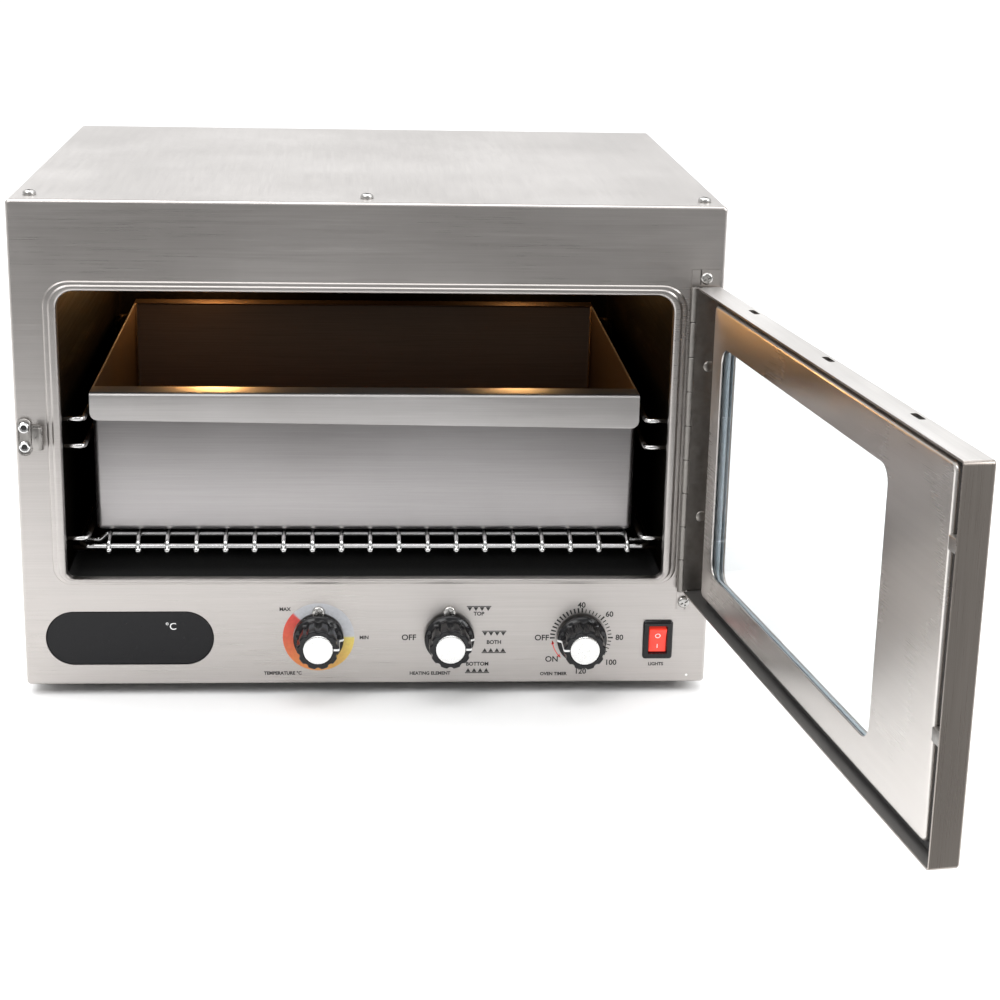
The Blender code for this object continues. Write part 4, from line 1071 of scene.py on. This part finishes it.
def make_door():
    """The tray with its glazing tape, the inner sheet, the seal, the edge clips and the hinge leaf."""
    outer = door_rect(DOOR_FIRST, DOOR_LAST, DOOR_LOW, DOOR_HIGH)
    window = door_rect(40.0, 263.4, 74.0, 204.0)
    rings = folded(outer, 1.5, 1.9, 0.4, 5, lambda depth: door_y(DOOR_DEPTH - depth), 5)
    rings += stack(outer, [
        (0.0, 1.9, door_y(0.15)), (-0.15, 1.8, door_y(0.0)), (-0.85, 1.3, door_y(0.0)),
        (-1.0, 1.2, door_y(0.15)), (-1.0, 1.2, door_y(DOOR_DEPTH - 1.8)),
        (-1.8, 1.0, door_y(DOOR_DEPTH - 1.0)),
    ], 5)
    rings += stack(window, [(0.0, 8.0, door_y(DOOR_DEPTH - 1.0)), (0.0, 8.0, door_y(DOOR_DEPTH))], 5)
    item = mesh_object("door_shell_sheet", [loft("Y", rings, closed=True)], STEEL_DOOR_SHADED, DOOR)
    holes = [door_block(-2.0, 5.2, -2.0, 2.4, DOOR_LOW - 5, DOOR_HIGH + 5)]
    for a in (66.4, 166.9, 266.0):
        for z in (DOOR_LOW, DOOR_HIGH):
            slot = rounded((door_x(a + 5), door_x(a - 5), door_y(10.6), door_y(7.6)), 1.0, 4)
            holes.append(prism("Z", slot, z - 4, z + 4))
    carve(item, holes, matrix=DOOR)
    # The shell's upward faces at the top take the painted light; its free end and the upward faces of its low
    # flange take the painted shade.
    rim, free_end, low_flange = 1, 2, 3
    for material in (STEEL_RIM_LIT, STEEL_EDGE_SHADED, STEEL_LOW_SHADED):
        item.data.materials.append(material)
    for face in item.data.polygons:
        if face.normal.z > 0.9 and face.center.z > (DOOR_HIGH - 0.5) * MM:
            face.material_index = rim
        elif face.normal.z > 0.9 and face.center.z < (DOOR_LOW + 2.0) * MM:
            face.material_index = low_flange
        elif abs(face.normal.z) < 0.5 and abs(face.normal.y) > 0.7:
            face.material_index = free_end
    finish_piece(item, "door", ["door_shell"], 30.0)
    near, far = door_y(12.22), door_y(12.06)
    rings = stack(window, [(-0.2, 7.8, near), (-0.2, 7.8, far), (12.0, 6.0, far), (12.0, 6.0, near)])
    piece("door_glazing_tape", [loft("Y", rings, closed=True)], GLAZING, "door", matrix=DOOR)

    inner = door_rect(24.0, 317.0, 61.0, 215.0)
    sight = door_rect(38.8, 255.0, 77.5, 196.0)
    rings = folded(inner, 1.7, 3.4, 0.5, 6, lambda depth: door_y(3.2 + depth))
    rings += stack(inner, [
        (0.0, 3.4, door_y(11.6)), (-0.8, 2.6, door_y(11.6)), (-0.8, 2.6, door_y(5.2)),
        (-1.2, 2.2, door_y(4.4)), (-2.0, 1.6, door_y(4.05)),
    ])
    rings += stack(sight, [
        (0.2, 8.2, door_y(4.05)), (0.0, 8.0, door_y(3.9)), (0.0, 8.0, door_y(3.4)), (0.2, 8.2, door_y(3.2)),
    ])
    shells = [loft("Y", rings, closed=True)]
    piece("door_inner_sheet", shells, STEEL_PANE_LIT, "door", ["door_inner_panel"], DOOR)

    edge = door_x(317.4)
    left = door_x(DOOR_LAST - 1.35)
    right = door_x(26.0)
    low = DOOR_LOW + 1.35
    high = DOOR_HIGH - 1.35
    seal = [
        (right, low), (right, 60.7), (edge, 60.7), (edge, 215.3), (right, 215.3), (right, high),
        (left + 1.5, high), (left, high - 1.5), (left, low + 1.5), (left + 1.5, low),
    ]
    item = mesh_object("door_seal_strip", [prism("Y", seal, door_y(11.4), door_y(6.2))], SEAL, DOOR)
    soften(item, 0.4)
    finish_piece(item, "door", ["door_seal"])
    clips = [door_block(317.6, DOOR_LAST - 1.3, 2.2, 6.4, z - 3, z + 3) for z in (185.0, 108.0)]
    piece("door_edge_clips", clips, STEEL_DARK, "door", matrix=DOOR, soft=0.5)

    leaf = [
        door_block(3.4, 4.2, 2.4, 11.9, DOOR_LOW + 1.5, DOOR_HIGH - 1.5),
        door_block(4.25, 4.45, 0.1, 11.8, DOOR_LOW + 1.6, DOOR_HIGH - 1.6),
    ]
    for low, high in knuckles(1):
        leaf.append(rolled(low, high))
        leaf.append(door_block(3.4, 4.2, 0.0, 3.4, low + 0.1, high - 0.1))
    piece("hinge_door_sheet", leaf, HINGE_METAL_SHADED, "door", ["hinge_door_leaf"], DOOR, sharp=30)
    head = door_x(4.2)
    profile = [(1.5, head + 2.0), (1.5, head), (2.9, head)]
    profile += arc(0.0, head - 0.2, 3.0, -1.0, 0, 90 * 6 / 7, 6)
    for name, z in (("upper", 178.3), ("lower", 97.8)):
        node = "leaf_rivet_" + name
        rivet = [turned("X", (door_y(8.0), z), profile, 32)]
        piece(node + "_head", rivet, HINGE_METAL_SHADED, "door", [node], DOOR)


def make_latch():
    """A draw latch: its base with two lugs, the lever that turns on them, and the bail on the lever."""
    mid = LATCH_Z
    lever_at = (308.0, 17.6)
    pivot, bail_pivot = door_points([lever_at, (298.0, 17.2)])
    base = door_rect(286.0, 324.0, mid - 9.0, mid + 9.0)
    rings = stack(base, [(0.0, 3.0, door_y(13.6)), (0.0, 3.0, door_y(14.35)), (-0.25, 2.8, door_y(14.6))])
    shells = [loft("Y", rings)]
    lug = [(302.0, 14.4), (314.0, 14.4), (313.0, 16.0)]
    lug += arc(*lever_at, 3.0, 2.4, 20, 160, 6) + [(303.0, 16.0)]
    for low, high in ((mid - 6.9, mid - 6.1), (mid + 6.1, mid + 6.9)):
        shells.append(prism("Z", door_points(lug), low, high))
    axle = [(1.0, mid - 7.3), (1.3, mid - 7.1), (1.3, mid + 7.1), (1.0, mid + 7.3)]
    shells.append(turned("Z", pivot, axle, 24))
    rivet = [(2.4, door_y(14.5)), (2.3, door_y(15.0)), (1.4, door_y(15.4)), (0.4, door_y(15.5))]
    for z in (mid - 5.5, mid + 5.5):
        shells.append(turned("Y", (door_x(320.0), z), rivet, 24))
    piece("latch_base_plate", shells, BRIGHT, "door", ["latch_base"], DOOR)

    shape = arc(*lever_at, 2.6, 2.6, -90, 80, 10) + [
        (296.0, 20.4), (269.0, 20.4), (267.6, 21.0), (266.6, 22.2), (265.8, 21.4), (266.8, 20.0),
        (268.6, 19.2), (294.0, 19.2), (295.2, 15.2),
    ]
    blade = prism("Z", door_points(shape), mid - 5.4, mid + 5.4)
    item = mesh_object("latch_lever_blade", [blade], BRIGHT, DOOR)
    outlines = (circle(pivot, 1.6, 24), circle(bail_pivot, 1.3, 24))
    carve(item, [prism("Z", outline, mid - 9, mid + 9) for outline in outlines], matrix=DOOR)
    soften(item, 0.3, 2, 50.0)
    finish_piece(item, "latch_lever", ["latch_lever"], 30.0)

    start = Vector((*bail_pivot, 0.0))
    reach = Vector((-168.6 - HINGE[0], -154.8 - HINGE[1], 0.0))
    arm = [start, Vector((reach.x, start.y, 0.0)), reach]
    fold = Matrix.Rotation(math.radians(170.0), 3, "Z")
    arm = [start + fold @ (point - start) for point in arm]
    path = [Vector((arm[0].x, arm[0].y, mid - 3.4))]
    path += [Vector((p.x, p.y, mid - 8.6)) for p in arm]
    path += [Vector((p.x, p.y, mid + 8.6)) for p in reversed(arm)]
    path.append(Vector((arm[0].x, arm[0].y, mid + 3.4)))
    bail = [wire(filleted(path, 2.0), 1.0)]
    piece("latch_bail_wire", bail, CHROME, "latch_bail", ["latch_bail"], DOOR, sharp=60)


# ---------------------------------------------------------------- studio and camera


def area_light(name, at, aim, size, power):
    data = bpy.data.lights.new(name, "AREA")
    data.shape = "RECTANGLE"
    data.size, data.size_y = size
    data.energy = power
    item = linked(name, data)
    item.location = at
    item.rotation_euler = (Vector(aim) - Vector(at)).to_track_quat("-Z", "Y").to_euler()


def make_world():
    """Plain white to the camera. To the object it is a sky that is dimmer in front and brighter above."""
    world = bpy.data.worlds.new("studio")
    bpy.context.scene.world = world
    world.use_nodes = True
    tree = world.node_tree
    ground = tree.nodes["Background"]
    ground.inputs["Color"].default_value = (1.0, 1.0, 1.0, 1.0)
    ground.inputs["Strength"].default_value = 1.0
    place = tree.nodes.new("ShaderNodeTexCoord")
    split = tree.nodes.new("ShaderNodeSeparateXYZ")
    tree.links.new(place.outputs["Generated"], split.inputs["Vector"])
    total = tree.nodes.new("ShaderNodeMath")
    total.operation = "ADD"
    for index, (axis, *numbers) in enumerate((("Y", -0.9, 0.5, 0.44, 0.98), ("Z", 0.1, 0.9, 0.0, 0.6))):
        spread = tree.nodes.new("ShaderNodeMapRange")
        for socket, number in zip(("From Min", "From Max", "To Min", "To Max"), numbers):
            spread.inputs[socket].default_value = number
        tree.links.new(split.outputs[axis], spread.inputs["Value"])
        tree.links.new(spread.outputs["Result"], total.inputs[index])
    around = tree.nodes.new("ShaderNodeBackground")
    tree.links.new(total.outputs["Value"], around.inputs["Strength"])
    path = tree.nodes.new("ShaderNodeLightPath")
    mix = tree.nodes.new("ShaderNodeMixShader")
    tree.links.new(path.outputs["Is Camera Ray"], mix.inputs["Fac"])
    tree.links.new(around.outputs["Background"], mix.inputs[1])
    tree.links.new(ground.outputs["Background"], mix.inputs[2])
    tree.links.new(mix.outputs["Shader"], tree.nodes["World Output"].inputs["Surface"])


def make_studio(lamps):
    floor_z = box("foot_front_left")[4]
    finish = Finish("studio_floor", (0.9, 0.9, 0.9), 0.0, 0.6)
    mottle = finish.noise(finish.mapped((3.0, 3.0, 3.0)), 1.0, 2.0)
    finish.feed("Base Color", finish.ramp(mottle, ((0.3, (0.9, 0.9, 0.9)), (0.7, (0.92, 0.92, 0.92)))))
    wide, far = 6000, 9000
    edge = [(-wide, -720), (-150, -620), (170, -590), (200, -500), (wide, -480), (wide, far), (-wide, far)]
    shell = ([(x, y, floor_z) for x, y in edge], [tuple(range(len(edge)))])
    floor = mesh_object("studio_floor", [shell], finish.material)
    make_world()
    area_light("key", (-1.1, -1.3, 1.7), (0.0, -0.1, 0.1), (1.4, 1.0), 17.0)
    area_light("top", (0.1, 0.1, 1.9), (0.0, 0.0, 0.0), (1.8, 1.8), 22.0)
    data = bpy.data.lights.new("sky", "SUN")
    data.energy = 0.9
    data.angle = math.radians(40.0)
    linked("sky", data).rotation_euler = (math.radians(-22.0), math.radians(-18.0), 0.0)
    area_light("fill", (1.5, -0.9, 1.1), (0.1, -0.2, 0.1), (1.2, 1.0), 17.0)
    for index, ((_, centre), power) in enumerate(zip(lamps, (0.48, 0.12))):
        name = "lamp_glow_%d" % index
        data = bpy.data.lights.new(name, "POINT")
        data.energy = power
        data.color = (1.0, 0.52, 0.18)
        data.shadow_soft_size = 0.012
        item = linked(name, data)
        item.location = (centre[0] * MM, 0.1, centre[1] * MM)


def make_camera():
    yaw, pitch, roll = 0.072, 0.2939, 0.022
    forward = Vector((math.sin(yaw) * math.cos(pitch), math.cos(yaw) * math.cos(pitch), -math.sin(pitch)))
    right = Vector((math.cos(yaw), -math.sin(yaw), 0.0))
    up = right.cross(forward)
    across = right * math.cos(roll) + up * math.sin(roll)
    upright = up * math.cos(roll) - right * math.sin(roll)
    data = bpy.data.cameras.new("camera")
    data.lens = 75.454
    data.sensor_width = 36.0
    item = linked("camera", data)
    turn = Matrix((across, upright, -forward)).transposed().to_4x4()
    at = Vector((-7.4, -1194.5, 421.9)) * MM
    item.matrix_world = Matrix.Translation(at) @ turn
    bpy.context.scene.camera = item
    bpy.context.scene.view_settings.view_transform = "Standard"


make_front_panel()
make_wrap()
make_feet()
lamp_places = make_cavity()
make_racks()
make_shelf()
make_pan()
make_controls()
make_print()
make_switch()
make_fixed_hinge()
make_keeper()
make_door()
make_latch()
make_camera()
make_studio(lamp_places)
